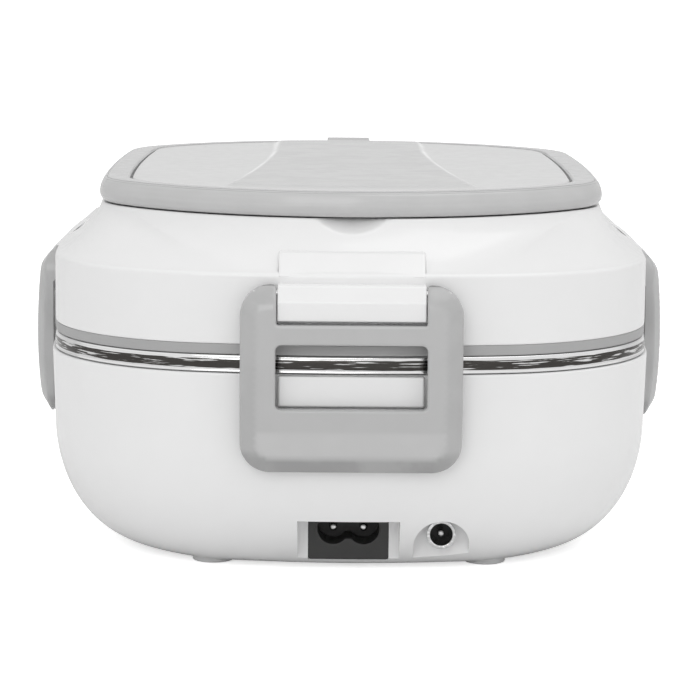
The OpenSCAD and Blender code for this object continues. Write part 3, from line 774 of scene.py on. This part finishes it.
def bowl_tools():
    """Everything that is taken out of the bowl: both niches, their sockets, pads and screws."""
    middle = (inlet_low[0] + inlet_high[0]) / 2
    arch = np.concatenate([
        [(jack[0] - jack_niche_r, floor_top), (jack[0] + jack_niche_r, floor_top)],
        arc((jack[0], niche_top - jack_niche_r), jack_niche_r, jack_niche_r, 0, 180, 32)])
    niche = rectangle(middle - inlet_niche_half, middle + inlet_niche_half, floor_top, niche_top)
    socket = rectangle(inlet_low[0], inlet_high[0], floor_top, inlet_high[2])
    tools = [
        prism(niche, 1, in_front, niche_y),
        prism(socket, 1, niche_y - 0.5, socket_back + 5),
        prism(arch, 1, in_front, niche_y),
        prism(circle(jack, jack_r), 1, niche_y - 0.5, socket_back),
    ]
    tools += [prism(circle(at, pad_r), 2, 0, pocket_top) for at in foot_at]
    tools += [prism(circle(at, screw_r, 24), 2, 0, pocket_top) for at in screw_at]
    return joined("bowl_tools", tools, recalculate=True)


print("niche plane at y =", round(niche_y, 1), "jack at", jack.round(1))

# %% The bowl
bowl_stations = plan(24, 16, 16)
corner_share = 2 * np.abs(bowl_stations[:, 2] * bowl_stations[:, 3])
depth_share = np.clip(1 - bowl_profile[:, 1] / bowl_top, 0, 1) ** 3
bowl = swept("bowl", bowl_profile, bowl_stations, closed=False,
             drawn_in=corner_pull * corner_share[:, None] * depth_share[None])
cut(bowl, bowl_tools())
dress(bowl, "base", "white_gloss", "base_shell")

# %% [markdown]
# ## Catches and pads
#
# Behind each clip's window a white block stands out of the bowl, and the lower bar of a closed
# clip lies just under it. It is a bar with drawn-in ends. The four pads below are turned discs with a soft
# edge, let into pockets in the bottom, and stand out of them by a millimetre.

# %% Catch blocks
catch_half = 19.95
catch_outline = soften([(-1.6, 50.0), (2.4, 50.0), (2.4, 58.4), (-1.6, 58.4)], [0, 0.5, 0.5, 0])
catch_points, catch_faces = bar(catch_outline, catch_half, 0.5)
catches = joined("catch_blocks", [(on_side(catch_points, k), catch_faces) for k in range(4)])
dress(catches, "base", "white_gloss", "base_shell")


# %% Foot pads
def disc(profile, centre, steps=40):
    """Profile (radius, height) carried round a full circle about a vertical axis at centre (x, y)."""
    a = np.linspace(0, 2 * math.pi, steps, endpoint=False)
    stations = np.stack([centre[0] + 0 * a, centre[1] + 0 * a, np.cos(a), np.sin(a)], 1)
    points = carry(np.asarray(profile, float), stations)
    return points.reshape(-1, 3), round_faces(*points.shape[:2])


pad_corners = [(1.0, 0.0), (pad_r, 0.0), (pad_r, pocket_top), (1.0, pocket_top)]
pads = joined("foot_pads", [disc(soften(pad_corners, [0, 0.4, 0.1, 0]), at) for at in foot_at])
dress(pads, "base", "foot_rubber", "rubber_feet")

# %% [markdown]
# ## Plates
#
# The clips and the mains inlet are plates with holes. Their outline is a closed curve with
# round corners, moved inwards ring by ring. Each ring is lowered by the height of a quarter circle,
# which rounds the edge. The middle is filled with points on a triangular grid and
# triangulated, and the height there is any function of x and z. The back is made the same
# way, and a wall joins the two.


# %% Outlines with round corners
def outline_of(corners, step=0.7):
    """Closed outline through (x, z, radius) corners: an arc tangent to both sides at each, and
    evenly spaced points on the straight runs between."""
    xy = np.array([c[:2] for c in corners], float)
    runs = []
    for k, (x, z, r) in enumerate(corners):
        a, b = xy[k - 1] - xy[k], xy[(k + 1) % len(xy)] - xy[k]
        a, b = a / np.linalg.norm(a), b / np.linalg.norm(b)
        half = math.acos(np.clip(a @ b, -1, 1)) / 2
        centre = xy[k] + (a + b) / np.linalg.norm(a + b) * r / math.sin(half)
        first, last = xy[k] + a * r / math.tan(half), xy[k] + b * r / math.tan(half)
        start = math.atan2(*(first - centre)[::-1])
        sweep = (math.atan2(*(last - centre)[::-1]) - start + math.pi) % (2 * math.pi) - math.pi
        t = start + sweep * np.linspace(0, 1, max(5, int(abs(sweep) * r / step) + 1))
        runs.append(centre + r * np.stack([np.cos(t), np.sin(t)], 1))
    points = []
    for k, run in enumerate(runs):
        gap = runs[(k + 1) % len(runs)][0] - run[-1]
        count = max(1, int(np.linalg.norm(gap) / step))
        points += [run, run[-1] + np.linspace(0, 1, count + 1)[1:-1, None] * gap]
    return np.concatenate(points)


def inside(points, outline):
    """True for points inside a closed outline, by counting the edges crossed on the way out."""
    a, b = outline[None], np.roll(outline, -1, axis=0)[None]
    x, z = points[:, None, 0], points[:, None, 1]
    spans = (a[..., 1] > z) != (b[..., 1] > z)
    rise = np.where(b[..., 1] == a[..., 1], 1e-12, b[..., 1] - a[..., 1])
    crossing = a[..., 0] + (z - a[..., 1]) * (b[..., 0] - a[..., 0]) / rise
    return (spans & (x < crossing)).sum(1) % 2 == 1


square = outline_of([(0, 0, 1), (10, 0, 1), (10, 10, 1), (0, 10, 1)])
print("a test square has", len(square), "points, middle inside:", inside(np.array([[5.0, 5.0]]), square))


# %% Plates with holes
def plate(outer, holes, front, back, edge=0.6, back_edge=0.2, spacing=1.3, steps=4, guard=0.12):
    """Points (x, outward, z) and faces of a closed plate between two height functions."""
    t = np.linspace(0, math.pi / 2, steps + 1)
    flat, drops, faces, loops, start = [], [], [], [], 0
    shift = np.append(edge * (1 - np.cos(t)), edge + guard)[:, None, None]
    for outline in [outer] + holes:
        rings = outline[None] - shift * normals(outline)[None]
        m = len(outline)
        flat.append(rings.reshape(-1, 2))
        drops.append(np.repeat(np.append(1 - np.sin(t), 0.0), m))
        faces.append(quads(steps + 2, m, False, True, start))
        loops.append((start, start + (steps + 1) * m, m))
        start += (steps + 2) * m
    rim = np.concatenate([outer] + holes)
    box_low, box_high = outer.min(0), outer.max(0)
    rows = np.arange(box_low[1], box_high[1], spacing * 0.866)
    cols = np.arange(box_low[0], box_high[0], spacing)
    grid = np.stack(np.meshgrid(cols, rows), -1)
    grid[1::2, :, 0] += spacing / 2
    grid = grid.reshape(-1, 2)
    keep = inside(grid, outer)
    for hole in holes:
        keep &= ~inside(grid, hole)
    grid = grid[keep]
    away = np.sqrt(((grid[:, None] - rim[None]) ** 2).sum(-1)).min(1)
    grid = grid[away > edge + guard + spacing * 0.45]
    inner = np.concatenate([np.arange(last, last + m) for _, last, m in loops])
    vertices = np.concatenate([np.concatenate(flat)[inner], grid])
    edges, at = [], 0
    for _, _, m in loops:
        ring = at + np.arange(m)
        edges += np.stack([ring, np.roll(ring, -1)], 1).tolist()
        at += m
    done = geometry.delaunay_2d_cdt(vertices.tolist(), edges, [], 0, 1e-6)
    source = np.array([ids[0] for ids in done[3]])
    tri = source[np.array(done[2])]
    middle = vertices[tri].mean(1)
    good = inside(middle, vertices[:loops[0][2]])
    at = loops[0][2]
    for _, _, m in loops[1:]:
        good &= ~inside(middle, vertices[at:at + m])
        at += m
    number = np.concatenate([inner, start + np.arange(len(grid))])
    tri = number[tri[good]]
    flat = np.concatenate(flat + [grid])
    drops = np.concatenate(drops + [np.zeros(len(grid))])
    x, z = flat.T
    top = np.stack([x, front(x, z) - edge * drops, z], 1)
    under = np.stack([x, back(x, z) + back_edge * drops, z], 1)
    n = len(flat)
    sheet = np.concatenate(faces)
    all_faces = sheet.tolist() + tri.tolist() + (sheet + n)[:, ::-1].tolist() + (tri + n)[:, ::-1].tolist()
    points, extra = [top, under], 2 * n
    for first, _, m in loops:
        a, b = top[first:first + m], under[first:first + m]
        beside = np.concatenate([a, b])
        beside[:m, 1] -= guard
        beside[m:, 1] += guard
        points.append(beside)
        for low_row, high_row in ((first, extra), (extra, extra + m), (extra + m, first + n)):
            i = np.arange(m)
            j = np.roll(i, -1)
            all_faces += np.stack([low_row + i, high_row + i, high_row + j, low_row + j], 1).tolist()
        extra += 2 * m
    return np.concatenate(points), all_faces


def level(value):
    """A height function that is the same everywhere."""
    return lambda x, z: np.full_like(x, value)


print("plates ready")

# %% [markdown]
# ## The grey clips
#
# A clip is a frame round a window, with two arms that reach up on either side of the lid's
# lug and turn on a pin there. Its face is crowned from top to bottom, rolls over at the top of the
# arms, and falls away in a 5 mm bevel along the outer edge. Behind it is hollow, so the
# hollow is cut out afterwards. Light is painted into the grey: an attribute paints shade on the
# bevels, darkest on the underside, as if they mirrored the darker parts of a room, which an even
# white room lacks, and a painted highlight on the foot of the face.

# %% Clip shape
clip_half = high("front_clip")[0]
clip_low, clip_high = low("front_clip")[2] - 0.7, 83.5
window_half, window_low, window_high = 20.65, 49.8, 67.5
slot_half, crossbar_top = 20.5, 72.9
clip_face, bevel_w, bevel_d = 7.1, 5.0, 2.4
crown_z, crown_below, crown_above = 56, 0.0033, 0.0024


def inset(x, z, r=8.5):
    """Distance inwards from the clip's outline, a rectangle with corners of radius r."""
    half_z, mid_z = (clip_high - clip_low) / 2, (clip_high + clip_low) / 2
    qx, qz = np.abs(x) - (clip_half - r), np.abs(z - mid_z) - (half_z - r)
    return r - np.hypot(np.maximum(qx, 0), np.maximum(qz, 0)) - np.minimum(np.maximum(qx, qz), 0)


def clip_front(x, z):
    """Crown (a parabola about crown_z), less the roll at the arm tops, less the softened bevel."""
    crown = clip_face - np.where(z < crown_z, crown_below, crown_above) * (z - crown_z) ** 2
    roll_over = 0.075 * np.maximum(0, z - 77) ** 2
    u = 1 - inset(x, z) / bevel_w
    fade = 1 - 0.6 * np.clip((z - 74) / 8, 0, 1)
    return crown - roll_over - bevel_d * fade * (u + np.sqrt(u * u + 0.005)) / 2


def clip_back(x, z):
    """Back plane at 1.5 mm beside the bowl and at 0 beside the lid, drawn in at the knuckle."""
    return 1.5 * np.clip((75 - z) / 2, 0, 1) + 0.12 * np.maximum(0, z - 80.5) ** 2


clip_outline = outline_of([
    (-clip_half, clip_low, 8.5), (clip_half, clip_low, 8.5), (clip_half, clip_high, 8.4),
    (slot_half, clip_high, 1.3), (slot_half, crossbar_top, 0.6), (-slot_half, crossbar_top, 0.6),
    (-slot_half, clip_high, 1.3), (-clip_half, clip_high, 8.4)])
window_outline = outline_of([
    (-window_half, window_low, 1.3), (-window_half, window_high, 1.5),
    (window_half, window_high, 1.5), (window_half, window_low, 1.3)])
clip_points, clip_faces = plate(clip_outline, [window_outline], clip_front, clip_back, 0.7)
print("a clip has", len(clip_points), "points and", len(clip_faces), "faces")


# %% The four clips
def clip_painted_light(x, z):
    """Painted light on the grey, 0 light to 1 dark: the face, a painted highlight on its lighter foot, and
    painted shade on the bevels, darkest underneath.
    """
    foot = np.clip((43.8 - z) / 1.0, 0, 1)
    bevel = np.clip((bevel_w - 0.2 - inset(x, z)) / 0.9, 0, 1)
    below = np.clip((38.5 - z) / 2.0, 0, 1)
    return (0.3 - 0.28 * foot) * (1 - bevel) + bevel * (0.5 + 0.5 * below)


hollow = [(-2.0, clip_low - 1), (2.7, clip_low - 1), (2.7, 36.0), (3.6, 36.0), (3.6, 72.6),
          (-2.0, 72.6)]
for k, side in enumerate(("front", "right", "rear", "left")):
    clip = form(side + "_snap_clip", on_side(clip_points, k), clip_faces, recalculate=True)
    tool_points, tool_faces = bar(hollow, clip_half - 4.0, 0.3)
    cut(clip, form("hollow", on_side(tool_points, k), tool_faces))
    where = positions(clip.data) / MM
    # Paints light into the clip's grey: shade on the bevels and underside, a highlight on the foot.
    mark(clip, "tone_with_painted_light", clip_painted_light(where[:, k % 2], where[:, 2]))
    dress(clip, side + "_clip", "grey_gloss", side + "_clip")

# %% [markdown]
# ## The steel container
#
# A deep-drawn steel pan. Its wall ends in a flat flange that turns down over the well, and that
# turned-down band is the bright line round the box. The band is slightly bellied, with a roll at
# the top and a bead at the bottom, and an attribute marks it for painted reflection: dark streaks
# in the steel's colour stand in for a darker room mirrored in the band. The painted streaks are strongest
# where the band faces the front or the rear.

# %% Container
steel_r, sheet, band_low, pan_turn = 45.4, 0.8, 58.8, 8
pan_low = low("steel_container")[2]
band_steps = np.linspace(0, 1, 9)
belly = np.stack([band_r - 0.35 + 0.35 * np.sqrt(1 - (2 * band_steps - 1) ** 2 * 0.9),
                  band_low + 0.7 + (steel_z - band_low - 1.5) * band_steps], 1)
turn_centre = (steel_r - pan_turn, pan_low + pan_turn)
pan_corners = np.concatenate([
    [(10.0, pan_low)], arc(turn_centre, pan_turn, pan_turn, -90, 0, 10),
    [(steel_r, steel_z - sheet), (band_r - sheet, steel_z - sheet), (band_r - sheet, band_low),
     (band_r, band_low)], belly, [(band_r - 0.25, steel_z), (steel_r - sheet, steel_z)],
    arc(turn_centre, pan_turn - sheet, pan_turn - sheet, 0, -90, 10), [(10.0, pan_low + sheet)]])
pan_cuts = np.zeros(len(pan_corners))
pan_cuts[12:16] = 0.4, 0.1, 0.15, 0.3
pan_cuts[25:27] = 0.6, 0.5
pan_profile = soften(pan_corners, pan_cuts)
pan = swept("food_container", pan_profile, FINE, closed=False)
height = pan_profile[:, 1]
on_band = (pan_profile[:, 0] > band_r - 0.5) & (height > band_low + 0.9) & (height < steel_z - 1.2)
# Painted reflection: the share of dark streaks on the band, largest where it faces the front or the rear.
painted_reflection_by_side = 0.8 + 0.2 * np.abs(FINE[:, 3]) ** 3
mark(pan, "band", (painted_reflection_by_side[:, None] * on_band[None]).ravel())
dress(pan, "container", "polished_steel", "steel_container")

# %% [markdown]
# ## The well
#
# Between the bowl and the container sits a plastic well that carries the heater plate. Its upstand
# shows as a narrow line under the steel band. It has the same plan, a hole for the plate, and four
# bosses for the screws that come up through the bowl.

# %% Well
well_r, well_t, well_floor, seat = 45.9, 1.6, 19.5, steel_z - 0.9
bend_centre, bend = (36.5, 30.5), 9.4
well_corners = np.concatenate([
    [(22.6, well_floor + well_t), (22.6, well_floor)],
    arc(bend_centre, bend + well_t, bend + well_t, -90, 0, 10),
    [(well_r + well_t, seat - 1.6), (51.2, seat - 1.6), (51.2, rim_z - 6), (52.8, rim_z - 6),
     (52.8, rim_z), (53.8, rim_z), (53.8, rim_z + 1.6), (52.8, rim_z + 1.6), (52.8, seat),
     (well_r, seat)],
    arc(bend_centre, bend, bend, 0, -90, 10)])
well_cuts = np.zeros(len(well_corners))
well_cuts[13:23] = 0.3
well_grid = carry(soften(well_corners, well_cuts), FINE)
well_shape = well_grid.reshape(-1, 3), round_faces(*well_grid.shape[:2], closed=True)
boss_profile = [(1.0, 4.9), (4.0, 4.9), (4.0, well_floor + 0.1), (1.0, well_floor + 0.1)]
well = joined("plastic_well", [well_shape] + [disc(boss_profile, at) for at in screw_at])
dress(well, "base", "well_plastic", "inner_well")

# %% [markdown]
# ## Seal
#
# The grey silicone seal hangs in a channel of the inner lid and shows as a matt band between the
# lid and the steel.

# %% Seal
seal_low, seal_high = low("lid_gasket")[2], high("lid_gasket")[2]
tongue = (48.7, 50.4)
seal_profile = soften(
    [(steel_r + 0.5, seal_low), (lid_r - 0.1, seal_low), (lid_r - 0.1, lid_z), (tongue[1], lid_z),
     (tongue[1], seal_high), (tongue[0], seal_high), (tongue[0], lid_z), (steel_r + 0.5, lid_z)],
    [0.6, 0.6, 0.2, 0.1, 0.3, 0.3, 0.1, 0.2])
seal = swept("lid_seal", seal_profile, FINE)
dress(seal, "lid", "seal_silicone", "lid_gasket")

# %% [markdown]
# ## Inner lid
#
# A white plate closes the lid from below, and two ribs round its edge hold the tongue of the seal.

# %% Inner lid
liner_z, liner_t, rib, play = 69.0, 1.6, 1.7, 0.2
liner_foot, liner_out = lid_z + 0.1, lid_r - 2.3
groove = tongue[0] - play, tongue[1] + play
liner_corners = [
    (10.0, liner_z), (groove[0] - rib, liner_z), (groove[0] - rib, liner_foot),
    (groove[0], liner_foot), (groove[0], liner_z), (groove[1], liner_z), (groove[1], liner_foot),
    (liner_out, liner_foot), (liner_out, liner_z + liner_t), (10.0, liner_z + liner_t)]
liner = swept("inner_lid", soften(liner_corners, [0] + [0.2] * 8 + [0]), FINE, closed=False)
dress(liner, "lid", "white_gloss", "lid_liner")

# %% [markdown]
# ## The white lid
#
# The lid's wall stands straight, turns over a soft edge and runs up a hollow shoulder to a narrow
# neck. On top lies a deck with a sunken tray for cutlery. The underside follows at wall
# thickness. The wall has the plan of the body and the neck has the rounder plan of the cover, so
# the shoulder is lofted: each point is a mix of the same profile carried round both plans, and
# the share of the cover's plan grows with height. The tray has the cover's plan throughout. At the
# front, a finger scoop is pressed into the neck: every point inside a sphere is pushed outwards to
# its surface.


# %% Lid profile
def shoulder(t, inward=0.0):
    """Hollow curve from the wall (t = 0) to the neck (t = 1): a line less 4.48 t (1 - t)."""
    sag = 4.48 * t * (1 - t)
    return np.stack([lid_r - 0.2 - 14.5 * t - sag - inward, shoulder_z + 14.2 * t - sag - inward], 1)


tray_r, tray_z, tray_turn, wall, neck_r = 30.0, 80.0, 6, 2.2, 40.0
tray_centre = (tray_r - tray_turn, tray_z + tray_turn)
lid_under = soften(
    np.concatenate([
        [(10.0, tray_z - wall)],
        arc(tray_centre, tray_turn + wall, tray_turn + wall, -90, 0, 8),
        [(tray_r + wall, deck_z - wall)],
        shoulder(np.linspace(0.9, 0.05, 16), 2.3),
        [(lid_r - wall, 83.6), (lid_r - wall, lid_z)]]),
    np.concatenate([np.zeros(10), [0.5], np.zeros(17), [0.3]]))[:-1]
lid_top = soften(
    np.concatenate([
        [(lid_r - wall, lid_z), (lid_r, lid_z), (lid_r, shoulder_z + 0.1)],
        shoulder(np.linspace(0.1, 1, 30)),
        np.stack([np.linspace(39.2, tray_r + 1.5, 9), np.full(9, deck_z)], 1),
        [(tray_r, deck_z)],
        arc(tray_centre, tray_turn, tray_turn, 0, -90, 8),
        [(10.0, tray_z)]]),
    np.concatenate([[0, 0.6, 0.8], np.zeros(39), [1.2], np.zeros(10)]))
lid_profile = np.concatenate([lid_under, lid_top[1:]])
print("lid profile has", len(lid_under), "points below and", len(lid_top), "above")

# %% The lid and its scoop
neck_shift = cover_r - 0.7 - neck_r
rise = np.clip((lid_profile[:, 1] - shoulder_z) / (deck_z - shoulder_z), 0, 1) ** 1.6
share = np.where(lid_profile[:, 0] < tray_r + 3, 1.0, rise)[None, :, None]
lid_points = ((1 - share) * carry(lid_profile, plan(28, 80, 24, BODY))
              + share * carry(lid_profile + (neck_shift, 0), plan(28, 80, 24, COVER)))
scoop_centre, scoop_r, scoop_wall = np.array([0.0, 1.4 - reach[1], 119.7]), 26.0, 1.5
below = np.arange(len(lid_profile)) < len(lid_under)
clear = np.where(below, scoop_r + scoop_wall, scoop_r)[None, :, None]
spoke = lid_points - scoop_centre
length = np.linalg.norm(spoke, axis=2, keepdims=True)
lid_points = np.where(length < clear, scoop_centre + spoke * (clear / length), lid_points)
lid = form("lid", lid_points.reshape(-1, 3), round_faces(*lid_points.shape[:2]))
dress(lid, "lid", "white_gloss", "lid_shell")
print("scoop moved", int((length < scoop_r).sum()), "points")

# %% [markdown]
# ## Lugs and hinge posts
#
# Each clip hangs on a white lug that stands out of the lid's wall: a steep face, then a sloping
# one. Above it a flat ramp leaves the top edge of the wall and lies a little proud of the hollow
# shoulder. At the back two small posts hold the pin of the cutlery cover.

# %% Lugs and posts
lug_half = high("front_clip")[0] - 10.2
knuckle = soften([(-2.4, 73.8), (4.8, 73.8), (4.6, 79.0), (2.1, 83.3), (-0.2, 83.6), (-2.4, 83.6)],
                 [0, 0.5, 0.4, 0.5, 0, 0])
ramp_corners = [(-2.6, 84.0), (-0.8, 85.5), (-7.2, 91.3), (-9.4, 91.8), (-12.0, 90.6), (-6.5, 83.5)]
ramp_outline = soften(ramp_corners, [0, 0.3, 0.6, 0.8, 0, 0])
lug_bars = [bar(knuckle, lug_half, 0.3), bar(ramp_outline, lug_half, 0.7)]
lugs = joined("clip_lugs", [(on_side(points, k), faces) for points, faces in lug_bars for k in range(4)])
dress(lugs, "lid", "white_gloss", "lid_shell")

hinge = (reach[1] - 12.2, 105.2)
post_half, post_x, post_r = 2.75, 10.45, 1.8
post_top = arc(hinge, post_r, post_r, 0, 180, 12)
post_outline = np.concatenate([[(104.3, 94.5), (107.6, 92.5)], post_top])
posts = joined("hinge_posts", [bar(post_outline, post_half, 0.4, side * post_x) for side in (-1, 1)])
dress(posts, "lid", "white_gloss", "lid_shell")

# %% [markdown]
# ## The cutlery cover
#
# A grey frame with a bellied outer face lies on the neck, and a lighter panel is set in it with a
# fine gap all round. The panel carries a raised strip that flares towards the front. The frame's
# inner edge lies further in at the long sides than at the ends, and the whole cover grows thicker
# towards the rear. The attribute called strip gives the panel's finish its two tones, lighter on the
# flat parts and darker on the raised strip, and paints a highlight on the slope between them, fading out
# towards the front.

# %% Cover frame
frame_low, cover_top = low("cover_frame")[2], 107.4
frame_corners = np.array([
    (-3.4, frame_low), (-1.2, frame_low), (-0.3, 101.6), (0.0, 102.9), (-0.3, 104.8), (-1.0, 106.5),
    (-1.8, 107.2), (-2.6, cover_top), (-6.1, cover_top), (-6.7, 106.9), (-6.7, 105.05),
    (-10.5, 105.05), (-10.5, 103.45), (-3.4, 103.45)]) + (cover_r, 0)
frame_cuts = [0.3, 0.5, 0.5, 0.6, 0.6, 0.5, 0.4, 0.4, 0.3, 0.3, 0.1, 0.3, 0.3, 0.1]


def smooth(t):
    """Smooth step from 0 to 1."""
    t = np.clip(t, 0, 1)
    return t * t * (3 - 2 * t)


def risen(points):
    """The cover grows 0.9 mm thicker towards the rear, along a smooth step in depth."""
    part = np.clip((points[..., 2] - frame_low) / (cover_top - frame_low), 0, 1.2)
    return points + (0.9 * smooth((points[..., 1] + 60) / 160) * part)[..., None] * (0, 0, 1)


def narrowing(direction_x):
    """How much further in the ring's inner edge lies where the ring faces sideways."""
    return 2.3 * direction_x ** 4


ring_stations, ring_profile = plan(28, 24, 24, COVER), soften(frame_corners, frame_cuts)
inner_part = np.clip((cover_r - 3.0 - ring_profile[:, 0]) / 3.0, 0, 1)[None, :, None]
ring_grid = carry(ring_profile, ring_stations)
further_in = narrowing(ring_stations[:, 2])[:, None] * ring_stations[:, 2:]
ring_grid[:, :, :2] -= further_in[:, None] * inner_part
cover = form("cover_ring", risen(ring_grid.reshape(-1, 3)),
             round_faces(*ring_grid.shape[:2], closed=True))
dress(cover, "cover", "grey_gloss", "cover_frame")

# %% Hinge tab
tab_outline = soften(
    np.concatenate([[(100.0, 104.4)], arc(hinge, 2.4, 2.4, -100, 0, 10),
                    [(108.2, 107.6), (107.0, 109.0), (103.2, 109.2), (100.0, cover_top)]]),
    np.concatenate([np.zeros(12), [0.5, 0.5, 0.6, 0.0]]))
tab = joined("cover_tab", [bar(tab_outline, 7.4, 0.4)])
dress(tab, "cover", "grey_gloss", "cover_frame")


# %% Cover panel
def strip_half(y):
    """Half width of the raised strip: even at the rear, then wider by a power of the depth."""
    return 23.2 + 11.0 * (np.maximum(0, 40 - y) / 134) ** 1.4


panel_r, panel_edge, panel_low, panel_top = cover_r - 7.5, 0.5, 105.05, 107.2
strip_h, step_w, flat_tone = 0.9, 3.2, 0.7


def panel():
    """Rows from front to rear that bend with the panel's ends, each split where it meets the strip.

    The outline's front quarter gives depth as a function of width, and its sides give width as a
    function of depth. Row v of -1 to 1 ends on the sides at depth v times that of the corner's
    middle, and takes |v|^3 of the bow of the end."""
    stations = plan(60, 120, 120, COVER)
    outline = carry(np.array([(panel_r - panel_edge, 0.0)]), stations)[:, 0, :2]
    outline -= narrowing(stations[:, 2])[:, None] * stations[:, 2:]
    quarter = outline[(outline[:, 0] >= 0) & (outline[:, 1] >= 0)]
    split = COVER[0] + (panel_r - panel_edge - narrowing(math.sqrt(0.5))) * math.sqrt(0.5)
    side, end = quarter[quarter[:, 0].argsort()][::-1], quarter[quarter[:, 0].argsort()]
    v = np.sin(np.linspace(-1, 1, 121) * math.pi / 2 * 0.8) / math.sin(math.pi / 2 * 0.8)
    depth = v * split[1]
    width = np.interp(np.abs(depth), side[:, 1], side[:, 0])

    def y_at(x):
        """Depth of every row at x, which has one row of values for each row of the grid."""
        far = np.interp(np.abs(x) * (split[0] / width)[:, None], end[:, 0], end[:, 1])
        return depth[:, None] + np.sign(v)[:, None] * np.abs(v[:, None]) ** 3 * (far - split[1])

    half = strip_half(depth)[:, None]
    for _ in range(4):
        half = strip_half(y_at(half))
    half, w = half[:, 0], width
    inner, outer = np.minimum(half, w - 0.06), np.minimum(half + step_w, w - 0.03)
    field, step, strip = np.linspace(0, 1, 18)[1:], np.linspace(0, 1, 8)[1:], np.linspace(0, 1, 33)[1:]
    knots = [(-w, -outer, field), (-outer, -inner, step), (-inner, inner, strip),
             (inner, outer, step), (outer, w, field)]
    x = np.concatenate([-w[:, None]] + [p[:, None] + (q - p)[:, None] * t[None] for p, q, t in knots], 1)
    raised = smooth((half[:, None] + step_w - np.abs(x)) / step_w)
    ends = smooth((1 - np.abs(v)) * split[1] / 3.0)[:, None]
    return np.stack([x, y_at(x), panel_top + strip_h * raised * ends], 2)


top = panel()
rows, cols = top.shape[:2]
number = np.arange(rows * cols).reshape(rows, cols)
loop = np.concatenate([number[0], number[1:, -1], number[-1, -2::-1], number[-2:0:-1, 0]])
edge = top.reshape(-1, 3)[loop]
outwards = normals(edge[:, :2])
rings = [np.column_stack([edge[:, :2] + outwards * panel_edge * math.sin(a),
                          edge[:, 2] - panel_edge * (1 - math.cos(a))])
         for a in np.radians([18, 36, 54, 72, 90])]
rings += [np.column_stack([rings[-1][:, :2], np.full(len(loop), h)]) for h in (panel_low + 0.1, panel_low)]
faces = quads(rows, cols, False, False).tolist()
before = loop
for k in range(len(rings)):
    now = rows * cols + k * len(loop) + np.arange(len(loop))
    faces += np.stack([before, now, np.roll(now, -1), np.roll(before, -1)], 1).tolist()
    before = now
faces.append(before.tolist())
shell = np.concatenate([top.reshape(-1, 3)] + rings)
lid_panel = form("cover_plate", risen(shell), faces, recalculate=True)
raised = np.clip((top[:, :, 2].ravel() - panel_top) / strip_h, 0, 1)
# Painted highlight on the strip's slope: full from 38 mm in front of the middle rearwards, fading to
# nothing 78 mm in front.
painted_highlight = 4 * raised * (1 - raised) * np.clip((top[:, :, 1].ravel() + 78) / 40, 0, 1)
tone_with_painted_light = (flat_tone + (1 - flat_tone) * raised) * (1 - painted_highlight)
mark(lid_panel, "strip", np.append(tone_with_painted_light, np.full(len(shell) - len(tone_with_painted_light), flat_tone)))
dress(lid_panel, "cover", "panel_gloss", "cover_panel")

# %% [markdown]
# ## The sockets
#
# The mains inlet is a black block with a figure-of-eight cavity and two round pins. The low-voltage
# socket is a bright barrel with a centre contact.

# %% Mains inlet
pin_r, pin_z, lobe_r = 1.2, 12.1, 4.45
pin_x = (low("ac_inlet_pins")[0] + pin_r, high("ac_inlet_pins")[0] - pin_r)
cavity = np.concatenate([
    arc((pin_x[1], pin_z), lobe_r, lobe_r, 90, -140, 26),
    arc((pin_x[0], pin_z), lobe_r, lobe_r, -40, -270, 26)])
inlet_outer = outline_of([(inlet_low[0], inlet_low[2], 0.9), (inlet_high[0], inlet_low[2], 0.9),
                          (inlet_high[0], inlet_high[2], 0.5), (inlet_low[0], inlet_high[2], 0.5)])
face_points, face_faces = plate(inlet_outer, [cavity], level(0.0), level(-10.0), 0.25)
floor_points, floor_faces = plate(inlet_outer, [], level(-9.9), level(-13.0), 0.1)


def at_niche(points):
    """Moves (across, outward, height) so that outward 0 is the niche plane, facing the front."""
    return np.stack([points[:, 0], niche_y - points[:, 1], points[:, 2]], 1)


inlet_parts = [(at_niche(face_points), face_faces), (at_niche(floor_points), floor_faces)]
inlet = joined("mains_inlet", inlet_parts, recalculate=True)
dress(inlet, "base", "black_plastic", "ac_inlet_body")


# %% Inlet pins, barrel and centre contact
def rod(r, front, rest, centre):
    """Turned pin of radius r: a half-round tip at depth front, then the rest of its profile."""
    tip = arc((0.0, front + r), r, r, -86, 0, 8)
    return turned(np.concatenate([tip, rest]), centre, 28, closed=False)


pin_front, pin_back = low("ac_inlet_pins")[1], high("ac_inlet_pins")[1]
pin_rest = [(pin_r, niche_y + 10), (1.0, niche_y + 10.1), (1.0, pin_back)]
pins = joined("mains_pins", [rod(pin_r, pin_front, pin_rest, (x, pin_z)) for x in pin_x],
              recalculate=True)
dress(pins, "base", "contact_metal", "ac_inlet_pins")

jack_bore, lip = 3.15, 0.25
barrel_front, barrel_back = low("dc_jack_barrel")[1], high("dc_jack_barrel")[1]
barrel_profile = soften([(jack_bore, barrel_front), (jack_r + lip, barrel_front),
                         (jack_r + lip, barrel_front + 0.5), (jack_r, barrel_front + 0.5),
                         (jack_r, barrel_back), (jack_bore, barrel_back),
                         (jack_bore, barrel_front + 1.2)],
                        [0.3, 0.2, 0.1, 0.1, 0.1, 0.1, 0.1])
barrel = joined("socket_barrel", [turned(barrel_profile, jack, 56)], recalculate=True)
dress(barrel, "base", "contact_metal", "dc_jack_barrel")

contact_front, contact_back = low("dc_jack_pin")[1], high("dc_jack_pin")[1]
contact_rod = rod(1.0, contact_front, [(1.0, contact_back)], jack)
contact = joined("socket_contact", [contact_rod], recalculate=True)
dress(contact, "base", "contact_metal", "dc_jack_pin")
